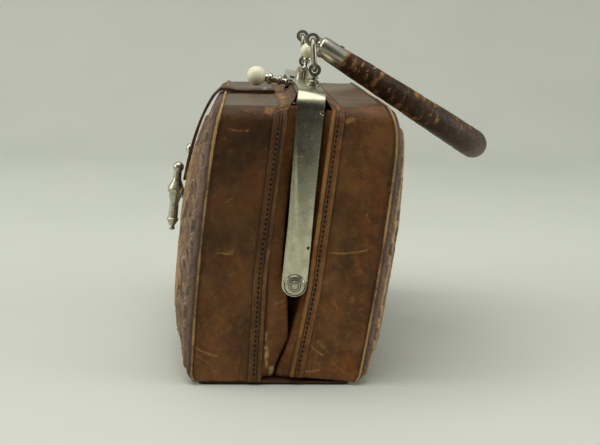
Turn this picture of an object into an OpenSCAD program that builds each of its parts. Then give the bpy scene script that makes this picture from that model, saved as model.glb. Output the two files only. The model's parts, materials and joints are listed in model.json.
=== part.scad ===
// Small antique doctor bag: two stiff leather halves on a riveted nickel frame,
// with a ball clasp, a strap and turn toggle, and one leather handle on links.
// X runs along the mouth, -Y is the front, the origin is the middle of the base underside.

/* [Bag] */
// Outer length of the two halves, along the mouth
bag_length = 234; // [200:1:270]
// Height of the level tops above the floor
shoulder_h = 158; // [150:1:166]
// Lean of the slumped bag towards its back, in degrees
lean = 6.5; // [0:0.5:8]
// Mid plane to the welt at the belly
belly_y = 50.5; // [48:0.5:56]
// Mid plane to the welt at the foot
foot_y = 47; // [42:0.5:48]
// Height at which the belly is widest
belly_z = 100; // [80:1:115]
// Inset of the front welt at the shoulder
shoulder_in = 2.7; // [1:0.1:6]
// Inset of the back welt at its rounder shoulder
back_shoulder_in = 8; // [3:0.5:9]
// Inset of the welts at the rounded foot
foot_in = 4; // [2:0.5:5]
// Outer radius where an end turns into the top
corner_r = 10; // [8:0.5:13]
// Gap between the halves at the mouth
mouth_gap = 24; // [23:0.5:30]
// Gap between the halves at the foot
foot_gap = 16; // [12:0.5:20]
// Tilt of the back half off the base, in degrees
foot_lift = 5; // [0:0.5:6]

/* [Leather] */
// Thickness of the end and top band
band_t = 3; // [2:0.1:4]
// Width of the welt between band and panel
welt_w = 3.2; // [2:0.1:4]
// How far the welt stands out of the band
welt_proud = 1; // [0.5:0.1:2]
// Thickness of the tooled panels
panel_t = 2; // [1.2:0.1:3]
// How far the tooled panels swell
panel_bulge = 12; // [6:0.5:20]
// Height at which the tooled panels swell most
swell_z = 65; // [50:1:90]
// Width of the stitched strips on the end edges
strip_w = 7.6; // [6:0.1:12]
// Thickness of the stitched strips
strip_t = 1; // [0.6:0.1:1.6]
// Distance of the stitched strips from the tops
strip_stop = 4; // [3:0.5:20]
// Thickness of the gusset leather
gusset_t = 1.4; // [1:0.1:2]
// Depth of the gusset fold into the bag
gusset_fold = 16; // [8:1:26]
// Thickness of the leather base
base_t = 2; // [1.2:0.1:3]
// Thickness of the pasteboards
board_t = 2.2; // [1.5:0.1:3]
// Thickness of the lining
lining_t = 0.8; // [0.5:0.1:1.2]

/* [Frame] */
// Rise of the frame above the tops, square to the lean
frame_rise = 9; // [8.5:0.5:16]
// How far the frame arms stand out of the ends
frame_proud = 0.5; // [0:0.1:1.5]
// Thickness of the frame strip
jaw_t = 2; // [1.6:0.1:2.4]
// Width of the outer strip at the top
jaw_w = 15; // [13:0.5:16]
// Width of the outer strip at the rivet
jaw_foot_w = 12.5; // [10:0.5:13]
// Width of the inner strip at the rivet
inner_foot_w = 14.5; // [10:0.5:16]
// Running gap between the two strips
jaw_gap = 0.6; // [0.5:0.1:1]
// Bend radius of the outer strip
jaw_bend_r = 11; // [8:0.5:14]
// Thickness of the flanges that hold the leather
flange_t = 1.5; // [1:0.1:2]
// Height of the pivot rivets, square to the lean
rivet_z = 59.5; // [45:0.1:70]
// How far the pivot rivets lie behind the mid plane
rivet_y = 4.2; // [0:0.1:4.4]
// Diameter of the pivot rivet heads
rivet_head_d = 12.3; // [9:0.1:13]
// Height of the pivot rivet heads
rivet_head_h = 2.2; // [1.5:0.1:3]
// Diameter of the pivot rivet shanks
rivet_d = 5; // [4:0.1:6]
// Number of small rivets along each flange
flange_rivets = 6; // [4:2:10]
// Diameter of the small rivets
small_rivet_d = 2.4; // [1.8:0.1:3]

/* [Clasp] */
// Width of the clasp plate
plate_w = 34; // [24:1:44]
// Thickness of the clasp plate
plate_t = 1.6; // [1.2:0.1:2]
// Height of the clasp plate
plate_h = 18; // [17:0.5:24]
// Lean of the clasp plate, in degrees
plate_lean = 8.5; // [4:0.1:12]
// Length of the lever from pin to ball
lever_l = 21.5; // [17:0.5:26]
// Rise of the resting lever, in degrees
lever_rise = 4; // [3:0.1:12]
// Fall of the lever pin below the frame top
pin_drop = 3.5; // [2:0.1:4]
// Diameter of the lever ball
ball_d = 12.5; // [10:0.1:14]
// Diameter of the clasp pin
clasp_pin_d = 2; // [1.6:0.1:2.4]
// Height of the catch ball above the frame
catch_h = 18; // [17:0.5:24]
// Diameter of the catch ball
catch_ball_d = 9.6; // [8:0.1:11]
// Diameter of the catch stem
catch_d = 3.6; // [3:0.1:4.4]

/* [Handle] */
// Mid plane to each handle post
post_x = 62; // [52:1:75]
// Post axis behind the frame centre
post_y = 3; // [0:0.1:3.5]
// Diameter of the post foot
post_d = 8.8; // [7:0.1:9]
// Height of the post eye above the frame
eye_h = 9; // [8:0.1:12]
// Outer diameter of the post eye
eye_d = 7.4; // [6.8:0.1:9]
// Thickness of the post eye
eye_t = 3.2; // [2.6:0.1:3.6]
// Diameter of the link wire
wire_d = 2.8; // [2:0.1:3]
// Radius of the link ends, to the wire centre
link_r = 5.5; // [5:0.1:7]
// Length of the link between its two eyes
link_l = 17.5; // [15:0.5:22]
// Lean of the link towards the front, in degrees
link_lean = 11.5; // [0:0.5:15]
// Length of the ferrules from their eyes
ferrule_l = 21; // [18:0.5:26]
// Outer diameter of the ferrules
ferrule_d = 11.8; // [10.5:0.1:14]
// Diameter of the handle core
core_d = 8; // [6:0.1:8.5]
// Diameter of the grip at the ferrules
grip_end_d = 12.2; // [10.5:0.1:14]
// Diameter of the grip at its crown
grip_crown_d = 18; // [14:0.1:20]
// Reach of the handle from its eyes to the crown centre
handle_reach = 127; // [110:1:140]
// Diameter of the cross pins in the ferrules
cross_pin_d = 2.6; // [2:0.1:3]

/* [Strap and toggle] */
// Width of the front strap
strap_w = 22; // [16:1:28]
// Thickness of the front strap
strap_t = 1.8; // [1.4:0.1:2.2]
// Height of the strap end
strap_end_z = 94.5; // [90:0.5:102]
// Height of the stud on the strap
stud_z = 114; // [110:0.5:125]
// Diameter of the stud
stud_d = 7; // [5:0.5:8]
// Height of the toggle pivot
toggle_z = 82.5; // [76:0.5:84]
// Diameter of the toggle drum
toggle_d = 9.5; // [8:0.1:11]
// Diameter of the toggle shaft
toggle_shaft_d = 5.3; // [4.5:0.1:6]
// Reach of the toggle above its pivot
toggle_up = 22; // [20:0.5:24]
// Reach of the toggle below its pivot
toggle_down = 23.5; // [23:0.5:28]
// Diameter of the toggle pivot stud
pivot_d = 3.6; // [3:0.1:4]
// Diameter of the toggle rosette
rosette_d = 15; // [12:0.5:18]

/* [Hidden] */
$fn = 48;
// Clearances: soft pieces, sewn layers, running pins
soft_gap = 0.3;
sewn_gap = 0.1;
run_gap = 0.1;
// How far raw shapes reach past the cuts that end them
over = 14;
welt_steps = 40;
shoulder_power = 4.4;
back_shoulder_power = 6;
foot_round = 8;
// Fall of the swell towards the ends, the top and the foot of a panel
end_power = 3.5;
top_power = 2.5;
foot_power = 5;
mouth_y = mouth_gap / 2;
floor_z = base_t + soft_gap;
panel_out = welt_w / 2 + panel_t;

frame_h = top_z(0) + frame_rise;
frame_len = bag_length + 2 * frame_proud;
bar_under = frame_h - jaw_t;
inner_top = bar_under - jaw_gap;
inner_under = inner_top - jaw_t;
flange_len = frame_len - 2 * jaw_bend_r - 4;
inner_front = -jaw_w / 2 + flange_t + jaw_gap;
inner_back = jaw_w / 2 - jaw_gap;
flap_t = 1.5;
flap_reach = 4;
flap_gap = 0.9;
flap_top = inner_under - 1;
rivet_edge = 8;
washer_t = 1.2;

sewn_y = mouth_y + strip_w;
gusset_x = bag_length / 2 - band_t - soft_gap;
neck_x = gusset_x - jaw_t - jaw_gap - 1.5;
fold_x = neck_x - gusset_fold - gusset_t;
gusset_drop = 3;

plate_back = -3.2;
plate_drop = 11;
bead_r = 2.5;
pin_z = frame_h - pin_drop;
pin_y = plate_back - plate_t - pin_drop * tan(plate_lean) - bead_r - 0.4;
lug_t = 2;
catch_y = 1.2;

eye_z = frame_h + eye_h;
eye_bore = wire_d + 1;
ferrule_eye_d = 8.2;
ferrule_bore = wire_d + 1.2;
swing_y = post_y - link_l * sin(link_lean);
swing_z = eye_z + link_l * cos(link_lean);
rest_y = shoulder_y(1) + welt_w / 2;
rest_z = top_z(rest_y) + (welt_proud + soft_gap) / cos(lean);
rest_dist = norm([rest_y - swing_y, swing_z - rest_z]);
leg_l = handle_reach - ferrule_l - post_x;
grip_len = 2 * leg_l + PI * post_x;
rest_grip_r = grip_r(rest_dist - ferrule_l);
handle_drop = atan2(swing_z - rest_z, rest_y - swing_y) - asin((rest_grip_r + soft_gap) / rest_dist);
cup_z = 11;

strap_lift = welt_proud + 2 * run_gap;
strap_root_y = 17;
strap_steps = 20;
strap_rivet_y = -strap_root_y - 6;
board_inset = 6;
toggle_seat = panel_y(toggle_z) + sewn_gap;
toggle_axis = toggle_seat + 2 + toggle_d / 2;

brown = [0.33, 0.2, 0.13];
dark_brown = [0.22, 0.13, 0.1];
tooled_brown = [0.27, 0.16, 0.14];
tan_edge = [0.6, 0.42, 0.25];
nickel = [0.72, 0.69, 0.63];
ivory = [0.89, 0.86, 0.75];
card = [0.62, 0.54, 0.42];
cloth = [0.55, 0.47, 0.36];
wool = [0.75, 0.72, 0.64];

// Distance of the welt from the mid plane at height z
function welt_y(z, side) = z < belly_z
  ? belly_y - (belly_y - foot_y) * pow((belly_z - z) / belly_z, 2)
    - foot_in * pow(max(0, 1 - (z - low_z(side)) / foot_round), 2)
  : belly_y - (belly_y - shoulder_y(side)) * pow((z - belly_z) / (shoulder_z(side) - belly_z),
    side > 0 ? back_shoulder_power : shoulder_power);
function shoulder_y(side) = belly_y - (side > 0 ? back_shoulder_in : shoulder_in);

// Height of the level top at y, and at the shoulder, in the leaned frame
function top_z(y) = (shoulder_h + y * sin(lean)) / cos(lean);
function shoulder_z(side) = top_z(side * shoulder_y(side));

// Lowest point of a panel in the leaned frame, front side -1, back side 1
function low_z(side) =
  (floor_z + side * (foot_y - foot_in + (side > 0 ? panel_out + 2 : 0)) * sin(lean)) / cos(lean);

// Half length of a panel at height z, set in and rounded at the shoulder
function half_len(z, top, inset) = let (rise = max(0, z - top + corner_r))
  bag_length / 2 - corner_r + sqrt(max(0, pow(corner_r - inset, 2) - pow(rise, 2)));

// Share of the swell of a panel at x, z
function swell(x, z, side) = (1 - pow(abs(2 * x / bag_length), end_power)) * (z > swell_z
  ? 1 - pow((z - swell_z) / (shoulder_z(side) - swell_z), top_power)
  : 1 - pow((swell_z - z) / (swell_z - low_z(side)), foot_power));

// Distance of the front panel's middle line from the mid plane at height z
function panel_y(z) = welt_y(z, -1) + panel_out + panel_bulge * swell(0, z, -1);

// The flap's foot under the mouth edge of a half, and the foot of the flange behind it
function flap_foot_z(side) =
  top_z(side > 0 ? mouth_y : -mouth_y - flap_reach) - band_t / cos(lean) - flap_gap;
function flange_foot(side) = flap_foot_z(side) - flap_t - 1;
function flap_rivet_z(side) = (flap_foot_z(side) + flap_top) / 2;

// Radius of the grip leather at a length s along it
function grip_r(s) = (grip_end_d + (grip_crown_d - grip_end_d) * sin(180 * s / grip_len)) / 2;

function backwards(list) = [for (i = [len(list) - 1:-1:0]) list[i]];
function pair(q) = [[q[0], q[1], q[2]], [q[0], q[2], q[3]]];
function flat(lists) = [for (l = lists, item = l) item];

// Outline of a turned piece from shares of its radius and height
function turned(shares, r, h) = [for (s = shares) [s[0] * r, s[1] * h]];

// The welt line in Y-Z, set out by off, from below the foot to above the top
function welt_line(off, side) = let (low = low_z(side) - 2, high = shoulder_z(side) + 3) [
  [-welt_y(low, side) - off, -over],
  for (i = [0:welt_steps]) let (z = low + i * (high - low) / welt_steps) [-welt_y(z, side) - off, z],
  [-welt_y(high, side) - off, high + over]];

// The mouth edge in Y-Z, set back by off, from top to bottom
function mouth_line(off, top) = [
  [-mouth_y - off, top], [-mouth_y - off, rivet_z], [-foot_gap / 2 - off, 0], [-foot_gap / 2 - off, -over]];

module along_x(length) rotate([90, 0, 90]) linear_extrude(length, center = true) children();
module along_y(length) rotate([90, 0, 0]) linear_extrude(length, center = true) children();
module stand() rotate([-lean, 0, 0]) children();
module both_ends() {
  children();
  mirror([1, 0, 0]) children();
}

// A half of the bag: drawn as the front one, mirrored for the back
module half(back) {
  stand() {
    if (back) mirror([0, 1, 0]) children();
    else children();
  }
}

// Cuts a piece off at the base; the back half's underside tilts up towards the mouth
module above_base(back = false) {
  difference() {
    children();
    translate([0, foot_y - foot_in, floor_z]) rotate([back ? -foot_lift : 0, 0, 0])
      translate([-bag_length, -bag_length, -bag_length]) cube([2, 2, 1] * bag_length);
  }
}

// Upright outline with two round shoulders
module arch(w, h, r) {
  translate([-w / 2, -over]) square([w, h - r + over]);
  translate([r - w / 2, -over]) square([w - 2 * r, h + over]);
  for (s = [-1, 1]) translate([s * (w / 2 - r), h - r]) circle(r);
}

// Solid block of one half with its level top, inset on all outer faces
module half_block(inset, back) {
  side = back ? 1 : -1;
  top = shoulder_z(side);
  y = shoulder_y(side);
  translate([0, -y, top]) rotate([-side * lean, 0, 0]) translate([0, y, -top])
    along_y(3 * belly_y) arch(bag_length - 2 * inset, top - inset, corner_r - inset);
}

module half_slice(outer, inner, back) {
  along_x(2 * bag_length)
    polygon(concat(welt_line(outer, back ? 1 : -1), mouth_line(inner, top_z(0) + 2 * over)));
}

module welt_slice(outer, inner, back) {
  side = back ? 1 : -1;
  along_x(2 * bag_length) polygon(concat(welt_line(outer, side), backwards(welt_line(inner, side))));
}

// Closed pillow over the welt line: outer and inner faces share a grid
module pillow(back, inset, front_off, back_off, back_swell, nx, nz) {
  side = back ? 1 : -1;
  low = low_z(side);
  top = shoulder_z(side);
  grid = [for (j = [0:nz], i = [0:nx])
    let (z = low + (top - inset - low) * (1 - cos(180 * j / nz)) / 2)
    let (x = -cos(180 * i / nx) * half_len(z, top, inset)) [x, z]];
  outer = [for (g = grid)
    [g[0], -welt_y(g[1], side) - front_off - panel_bulge * swell(g[0], g[1], side), g[1]]];
  inner = [for (g = grid)
    [g[0], -welt_y(g[1], side) - back_off - back_swell * swell(g[0], g[1], side), g[1]]];
  n = len(grid);
  row = nx + 1;
  faces = flat([for (j = [0:nz - 1], i = [0:nx - 1]) let (a = j * row + i)
    concat(pair([a, a + row, a + row + 1, a + 1]), pair([n + a + 1, n + a + row + 1, n + a + row, n + a]))]);
  foot = flat([for (i = [0:nx - 1]) pair([i, i + 1, n + i + 1, n + i])]);
  crown = flat([for (i = [0:nx - 1]) let (a = nz * row + i) pair([a + 1, a, n + a, n + a + 1])]);
  left = flat([for (j = [0:nz - 1]) let (a = j * row) pair([a + row, a, n + a, n + a + row])]);
  right = flat([for (j = [0:nz - 1]) let (a = j * row + nx) pair([a, a + row, n + a + row, n + a])]);
  polyhedron(concat(outer, inner), concat(faces, foot, crown, left, right));
}

module band(back) {
  color(brown) above_base(back) half(back) intersection() {
    difference() {
      half_block(0, back);
      half_block(band_t, back);
      if (!back) strap_rivet_places() cylinder(d = small_rivet_d, h = 4 * over, center = true);
    }
    half_slice(-welt_w / 2, 0, back);
  }
}

module welt(back) {
  color(tan_edge) above_base(back) half(back) intersection() {
    difference() {
      half_block(-welt_proud, back);
      half_block(band_t, back);
    }
    welt_slice(welt_w / 2, -welt_w / 2, back);
  }
}

module panel(back) {
  color(tooled_brown) half(back)
    pillow(back, 0, panel_out, welt_w / 2 + 2 * sewn_gap, panel_bulge, 26, 20);
}

module wadding(back) {
  color(wool) half(back)
    pillow(back, band_t + 3 * soft_gap, welt_w / 2 - 2 * soft_gap, 3 * soft_gap - welt_w / 2, 0, 16, 14);
}

module board(back) {
  color(card) above_base(back) half(back) intersection() {
    half_block(band_t + sewn_gap, back);
    welt_slice(-welt_w / 2, -welt_w / 2 - board_t, back);
  }
}

module lining(back) {
  skin = welt_w / 2 + board_t + sewn_gap;
  edge = sewn_y - foot_gap / 2 + 2;
  color(cloth) above_base(back) half(back) difference() {
    intersection() {
      half_block(band_t + sewn_gap, back);
      half_slice(-skin, edge, back);
    }
    intersection() {
      half_block(band_t + sewn_gap + lining_t, back);
      half_slice(-skin - lining_t, edge - 1, back);
    }
  }
}

// Stitched strips on the two ends, with the corner clipped at the top
module edge_strips(back) {
  clip = strip_w / 3;
  strip_top = top_z((back ? 1 : -1) * mouth_y) - strip_stop;
  color(brown) above_base(back) half(back) intersection() {
    difference() {
      half_block(-strip_t, back);
      half_block(0, back);
    }
    along_x(2 * bag_length) polygon(concat(
      [[-mouth_y - clip, strip_top]],
      mouth_line(0, strip_top - clip),
      backwards(mouth_line(strip_w, strip_top))));
  }
}

// Strip of the frame: arms that narrow to a round end about the rivet
module jaw(inset, front_edge, back_edge, foot_w) {
  top = frame_h - inset;
  difference() {
    intersection() {
      difference() {
        along_y(4 * jaw_w) arch(frame_len - 2 * inset, top, jaw_bend_r - inset);
        along_y(5 * jaw_w) arch(frame_len - 2 * (inset + jaw_t), top - jaw_t, jaw_bend_r - inset - jaw_t);
      }
      along_x(2 * bag_length) {
        polygon([[front_edge, top + over], [back_edge, top + over], [back_edge, top - jaw_bend_r],
          [rivet_y + foot_w / 2, rivet_z], [rivet_y - foot_w / 2, rivet_z], [front_edge, top - jaw_bend_r]]);
        translate([rivet_y, rivet_z]) circle(d = foot_w);
      }
    }
    translate([0, rivet_y, rivet_z]) rotate([0, 90, 0]) children();
  }
}

module flange(y, foot, top) {
  translate([-flange_len / 2, y, foot]) cube([flange_len, flange_t, top - foot]);
}

// Places of the small rivets, in two rows clear of the clasp plate
module flange_rivet_places(y, z) {
  first = plate_w / 2 + rivet_edge;
  last = flange_len / 2 - rivet_edge;
  for (s = [-1, 1], i = [0:flange_rivets / 2 - 1])
    translate([s * (first + i * (last - first) / (flange_rivets / 2 - 1)), y, z]) rotate([90, 0, 0]) children();
}

// Leather flap that joins a frame flange to the half beside it, drawn for the front
module flap(flange_y, side) {
  foot = flap_foot_z(side);
  difference() {
    along_x(flange_len) polygon([
      [flange_y, foot - flap_t], [flange_y, flap_top], [flange_y - flap_t, flap_top], [flange_y - flap_t, foot],
      [-mouth_y - flap_reach, foot], [-mouth_y - flap_reach, foot - flap_t]]);
    flange_rivet_places(flange_y, flap_rivet_z(side)) cylinder(d = small_rivet_d, h = 4 * over, center = true);
  }
}

module flap_rivets(flange_y, side) {
  flange_rivet_places(flange_y, flap_rivet_z(side)) {
    translate([0, 0, -flange_t]) cylinder(d = small_rivet_d, h = flange_t + flap_t);
    translate([0, 0, flap_t]) cylinder(d1 = 2 * small_rivet_d, d2 = small_rivet_d, h = 0.8);
  }
}

// Place of the clasp plate: local Z runs up the plate, local Y is its back face
module plate_place() {
  translate([0, plate_back, frame_h]) rotate([-plate_lean, 0, 0]) children();
}

module lever_place() {
  translate([0, pin_y, pin_z]) rotate([-lever_rise, 0, 0]) rotate([90, 0, 0]) children();
}

module strap_rivet_places() {
  for (s = [-1, 1])
    translate([s * strap_w / 4, strap_rivet_y, top_z(strap_rivet_y)]) rotate([lean, 0, 0]) children();
}

// The strap's line in Y-Z at a height t over the top, the welt and the front panel
function strap_line(t) = concat(
  [for (run = [[strap_root_y, 0], [shoulder_y(-1) - 2 * welt_w, 0], [shoulder_y(-1) - welt_w / 2, strap_lift],
    [shoulder_y(-1) + panel_out, strap_lift]])
    [-run[0], top_z(-run[0]) + (t + run[1]) / cos(lean)]],
  [for (i = [1:strap_steps]) let (z = shoulder_z(-1) - i * (shoulder_z(-1) - strap_end_z) / strap_steps)
    [-panel_y(z) - strap_lift - t, z]]);

module toggle_place() {
  translate([0, -toggle_axis, toggle_z]) children();
}

module link_end() {
  rotate([90, 0, 0]) rotate_extrude(angle = 180) translate([link_r, 0]) circle(d = wire_d, $fn = 32);
}

module handle_link(side) {
  straight = link_l - 2 * link_r;
  color(nickel) stand() translate([side * post_x, post_y, eye_z]) rotate([link_lean, 0, 0]) {
    translate([0, 0, link_r + straight]) link_end();
    translate([0, 0, link_r]) mirror([0, 0, 1]) link_end();
    for (s = [-1, 1]) translate([s * link_r, 0, link_r]) cylinder(d = wire_d, h = straight, $fn = 32);
  }
}

// Handle frame: local Y runs out along the legs, local Z is square to the arch
module handle_place() {
  stand() translate([0, swing_y, swing_z]) rotate([-handle_drop, 0, 0]) children();
}

// A ferrule lies along local Z from its eye
module ferrule_place(side) {
  handle_place() translate([side * post_x, 0, 0]) rotate([-90, 0, 0]) children();
}

module ferrule(side) {
  color(nickel) ferrule_place(side) difference() {
    union() {
      rotate([0, 90, 0]) cylinder(d = ferrule_eye_d, h = eye_t, center = true);
      rotate_extrude() polygon(concat(turned([[0, 0.27], [0.27, 0.27], [0.4, 0.38], [0.8, 0.44], [0.96, 0.53],
        [1, 0.7]], ferrule_d / 2, cup_z), [[ferrule_d / 2, ferrule_l], [0, ferrule_l]]));
    }
    rotate([0, 90, 0]) cylinder(d = ferrule_bore, h = 2 * eye_t, center = true);
    translate([0, 0, cup_z]) cylinder(d = core_d + sewn_gap, h = ferrule_l);
    translate([0, 0, ferrule_l - 4]) rotate([90, 0, 0])
      cylinder(d = cross_pin_d, h = 2 * ferrule_d, center = true);
  }
}

// Centre line of the arch: place and heading at a length s from the end of the right ferrule
function arch_heading(s) = min(180, max(0, (s - leg_l) / post_x * 180 / PI));
function arch_place(s) = let (a = arch_heading(s))
  let (leg = s < leg_l ? s : s > grip_len - leg_l ? grip_len - s : leg_l)
  [post_x * cos(a), ferrule_l + leg + (a > 0 && a < 180 ? post_x * sin(a) : 0), 0];

function arch_ring(s, r, sides) = let (a = arch_heading(s)) let (c = arch_place(s))
  [for (k = [0:sides - 1]) let (t = 360 * k / sides)
    c + r * [cos(t) * cos(a), cos(t) * sin(a), sin(t)]];

// Tube along the arch between two radii, square at its ends
module arch_tube(outer, inner, rings, sides) {
  stops = [for (i = [0:rings]) i * grip_len / rings];
  outside = [for (s = stops, p = arch_ring(s, outer(s), sides)) p];
  inside = [for (s = stops, p = arch_ring(s, inner, sides)) p];
  n = len(outside);
  last = rings * sides;
  walls = flat([for (i = [0:rings - 1], k = [0:sides - 1])
    let (a = i * sides + k) let (b = i * sides + (k + 1) % sides)
    concat(pair([a, b, b + sides, a + sides]), pair([n + a + sides, n + b + sides, n + b, n + a]))]);
  ends = flat([for (k = [0:sides - 1]) let (b = (k + 1) % sides)
    concat(pair([b, k, n + k, n + b]), pair([last + k, last + b, n + last + b, n + last + k]))]);
  polyhedron(concat(outside, inside), concat(walls, ends));
}

module base_sheet(w, d, thick, edge_r) {
  linear_extrude(thick) {
    square([w - 2 * edge_r, d], center = true);
    square([w, d - 2 * edge_r], center = true);
    for (sx = [-1, 1], sy = [-1, 1]) translate([sx * (w / 2 - edge_r), sy * (d / 2 - edge_r)]) circle(edge_r);
  }
}

module base_panel() { color(brown) base_sheet(bag_length - 2, 2 * (foot_y - foot_in), base_t, 4); }

// Board and lining end at the gusset folds
module base_inlay(thick) {
  base_sheet(2 * (fold_x - soft_gap), 2 * (foot_y - foot_in - board_inset), thick, 4);
}

module base_board() { color(card) translate([0, 0, base_t]) base_inlay(board_t); }

module base_lining() { color(cloth) translate([0, 0, base_t + board_t]) base_inlay(lining_t); }

// V-folded gusset at one end, sewn inside the bands of both halves
module gusset(side) {
  fold = [[gusset_x, sewn_y], [gusset_x, mouth_y + 1], [neck_x, mouth_y - 2], [neck_x - gusset_fold, 0]];
  skin = concat(fold, [for (p = backwards(fold)) [p[0], -p[1]]]);
  back = [for (p = backwards(skin)) [p[0] - gusset_t, p[1]]];
  top = flange_foot(-1) - gusset_drop;
  color(dark_brown) above_base() stand() mirror([side > 0 ? 0 : 1, 0, 0])
    translate([0, 0, -over]) linear_extrude(top + over) polygon(concat(skin, back));
}

module gusset_right() { gusset(1); }

module gusset_left() { gusset(-1); }

module front_band() { band(false); }

module front_welt() { welt(false); }

module front_panel() { panel(false); }

module front_wadding() { wadding(false); }

module front_board() { board(false); }

module front_lining() { lining(false); }

module front_edge_strips() { edge_strips(false); }

module front_strap() {
  color(brown) stand() difference() {
    along_x(strap_w) polygon(concat(strap_line(sewn_gap), backwards(strap_line(sewn_gap + strap_t))));
    strap_rivet_places() cylinder(d = small_rivet_d, h = 4 * over, center = true);
    translate([0, 0, stud_z]) rotate([90, 0, 0]) cylinder(d = small_rivet_d, h = 4 * belly_y);
  }
}

module strap_rivets() {
  color(nickel) stand() strap_rivet_places() translate([0, 0, -1]) {
    cylinder(d = small_rivet_d, h = strap_t + sewn_gap + 1);
    translate([0, 0, strap_t + sewn_gap + 1]) cylinder(d1 = 2 * small_rivet_d, d2 = small_rivet_d, h = 0.6);
  }
}

// Domed stud riveted through the strap
module strap_stud() {
  seat = panel_y(stud_z) + strap_lift + sewn_gap;
  color(nickel) stand() translate([0, -seat, stud_z]) rotate([90, 0, 0]) {
    cylinder(d = small_rivet_d, h = strap_t + 0.5);
    translate([0, 0, strap_t + 0.4]) rotate_extrude() polygon(concat([[0, 0]],
      [for (a = [0:15:90]) [stud_d / 2 * cos(a), stud_d / 3 * sin(a)]]));
  }
}

// Rosette on the panel with the pivot stud of the toggle
module toggle_base() {
  tip = toggle_axis - toggle_seat + toggle_d / 2;
  color(nickel) stand() translate([0, -toggle_seat, toggle_z]) rotate([90, 0, 0]) rotate_extrude() polygon([
    [0, 0], [rosette_d / 2, 0], [rosette_d / 2, 0.6], [rosette_d / 2 - 1.5, 1.3], [4, 1.2], [3.2, 1.7],
    [pivot_d / 2, 1.7], [pivot_d / 2, tip + run_gap], [pivot_d / 2 + 0.9, tip + run_gap],
    [pivot_d / 2 + 0.6, tip + 0.9], [0, tip + 1.2]]);
}

// Turned spindle: ball head, neck, bell and drum, shaft, collar and pointed tip
module toggle() {
  r = toggle_d / 2;
  shaft = toggle_shaft_d / 2;
  head = shaft + 0.65;
  collar = shaft + 1.1;
  color(nickel) stand() toggle_place() difference() {
    rotate_extrude() polygon(concat(
      [[0, -toggle_down], [0.7, -toggle_down], [shaft, 5 - toggle_down], [collar, 5.4 - toggle_down],
       [collar, 7 - toggle_down], [shaft, 7.6 - toggle_down], [shaft, -r - 1.2], [r - 0.8, -r - 0.8], [r, -r],
       [r, r - 1], [r - 0.5, r - 0.2], [shaft + 1, r + 1.6], [shaft, r + 4]],
      [for (a = [-50:20:90]) [head * cos(a), toggle_up - head + head * sin(a)]]));
    rotate([90, 0, 0]) cylinder(d = pivot_d + 2 * run_gap, h = 2 * toggle_d, center = true);
  }
}

module back_band() { band(true); }

module back_welt() { welt(true); }

module back_panel() { panel(true); }

module back_wadding() { wadding(true); }

module back_board() { board(true); }

module back_lining() { lining(true); }

module back_edge_strips() { edge_strips(true); }

// Outer frame: strip with a front flange, a seat for the clasp plate and a slot for the catch
module outer_frame() {
  slot_w = catch_d + 3;
  color(nickel) stand() difference() {
    union() {
      jaw(0, -jaw_w / 2, jaw_w / 2, jaw_foot_w) cylinder(d = rivet_d, h = 2 * bag_length, center = true);
      flange(-jaw_w / 2, flange_foot(-1), frame_h - jaw_t / 2);
    }
    translate([-plate_w / 2 - run_gap, -jaw_w, flange_foot(-1) - over])
      cube([plate_w + 2 * run_gap, jaw_w + plate_back, 4 * over]);
    translate([-slot_w / 2, catch_y - slot_w / 2 + 0.9, bar_under - over]) cube([slot_w, jaw_w, 2 * over]);
    for (s = [-1, 1]) translate([s * post_x, post_y, bar_under - over]) cylinder(d = catch_d, h = 2 * over);
    flange_rivet_places(0, flap_rivet_z(-1)) cylinder(d = small_rivet_d, h = 2 * jaw_w, center = true);
  }
}

module outer_flap() {
  color(dark_brown) stand() difference() {
    flap(-jaw_w / 2, -1);
    translate([-plate_w / 2 - 1, -2 * jaw_w, flap_foot_z(-1)]) cube([plate_w + 2, 2 * jaw_w, 2 * over]);
  }
}

module outer_flap_rivets() { color(nickel) stand() flap_rivets(-jaw_w / 2, -1); }

// Pivot rivets with domed heads and a washer peened on inside
module pivot_rivets() {
  inner_face = frame_len / 2 - 2 * jaw_t - jaw_gap;
  stack = 2 * jaw_t + jaw_gap + run_gap + washer_t + sewn_gap;
  color(nickel) stand() both_ends() translate([frame_len / 2, rivet_y, rivet_z]) rotate([0, 90, 0]) {
    translate([0, 0, -stack]) cylinder(d = rivet_d, h = stack);
    translate([0, 0, inner_face - run_gap - washer_t - frame_len / 2]) cylinder(d = 2 * rivet_d, h = washer_t);
    rotate_extrude() polygon(turned([[0, 0], [1, 0], [1, 0.27], [0.87, 0.6], [0.5, 0.77], [0.41, 0.77],
      [0.36, 1], [0, 1]], rivet_head_d / 2, rivet_head_h));
  }
}

// Turned posts riveted in the outer strip, each with an eye for its link
module handle_posts() {
  neck = eye_h - eye_bore / 2;
  color(nickel) stand() for (s = [-1, 1]) translate([s * post_x, post_y, frame_h]) difference() {
    union() {
      rotate_extrude() polygon(concat([[0, -jaw_t], [catch_d / 2, -jaw_t], [catch_d / 2, 0]],
        turned([[1, 0], [1, 0.11], [0.73, 0.21], [0.82, 0.31], [0.73, 0.41], [0.43, 0.48], [0.43, 0.55],
          [0.66, 0.62], [0.59, 0.73], [0.36, 0.82], [0.36, 1], [0, 1]], post_d / 2, neck)));
      translate([0, 0, eye_h]) rotate([0, 90, 0]) cylinder(d = eye_d, h = eye_t, center = true);
    }
    translate([0, 0, eye_h]) rotate([0, 90, 0]) cylinder(d = eye_bore, h = 2 * eye_t, center = true);
  }
}

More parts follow.
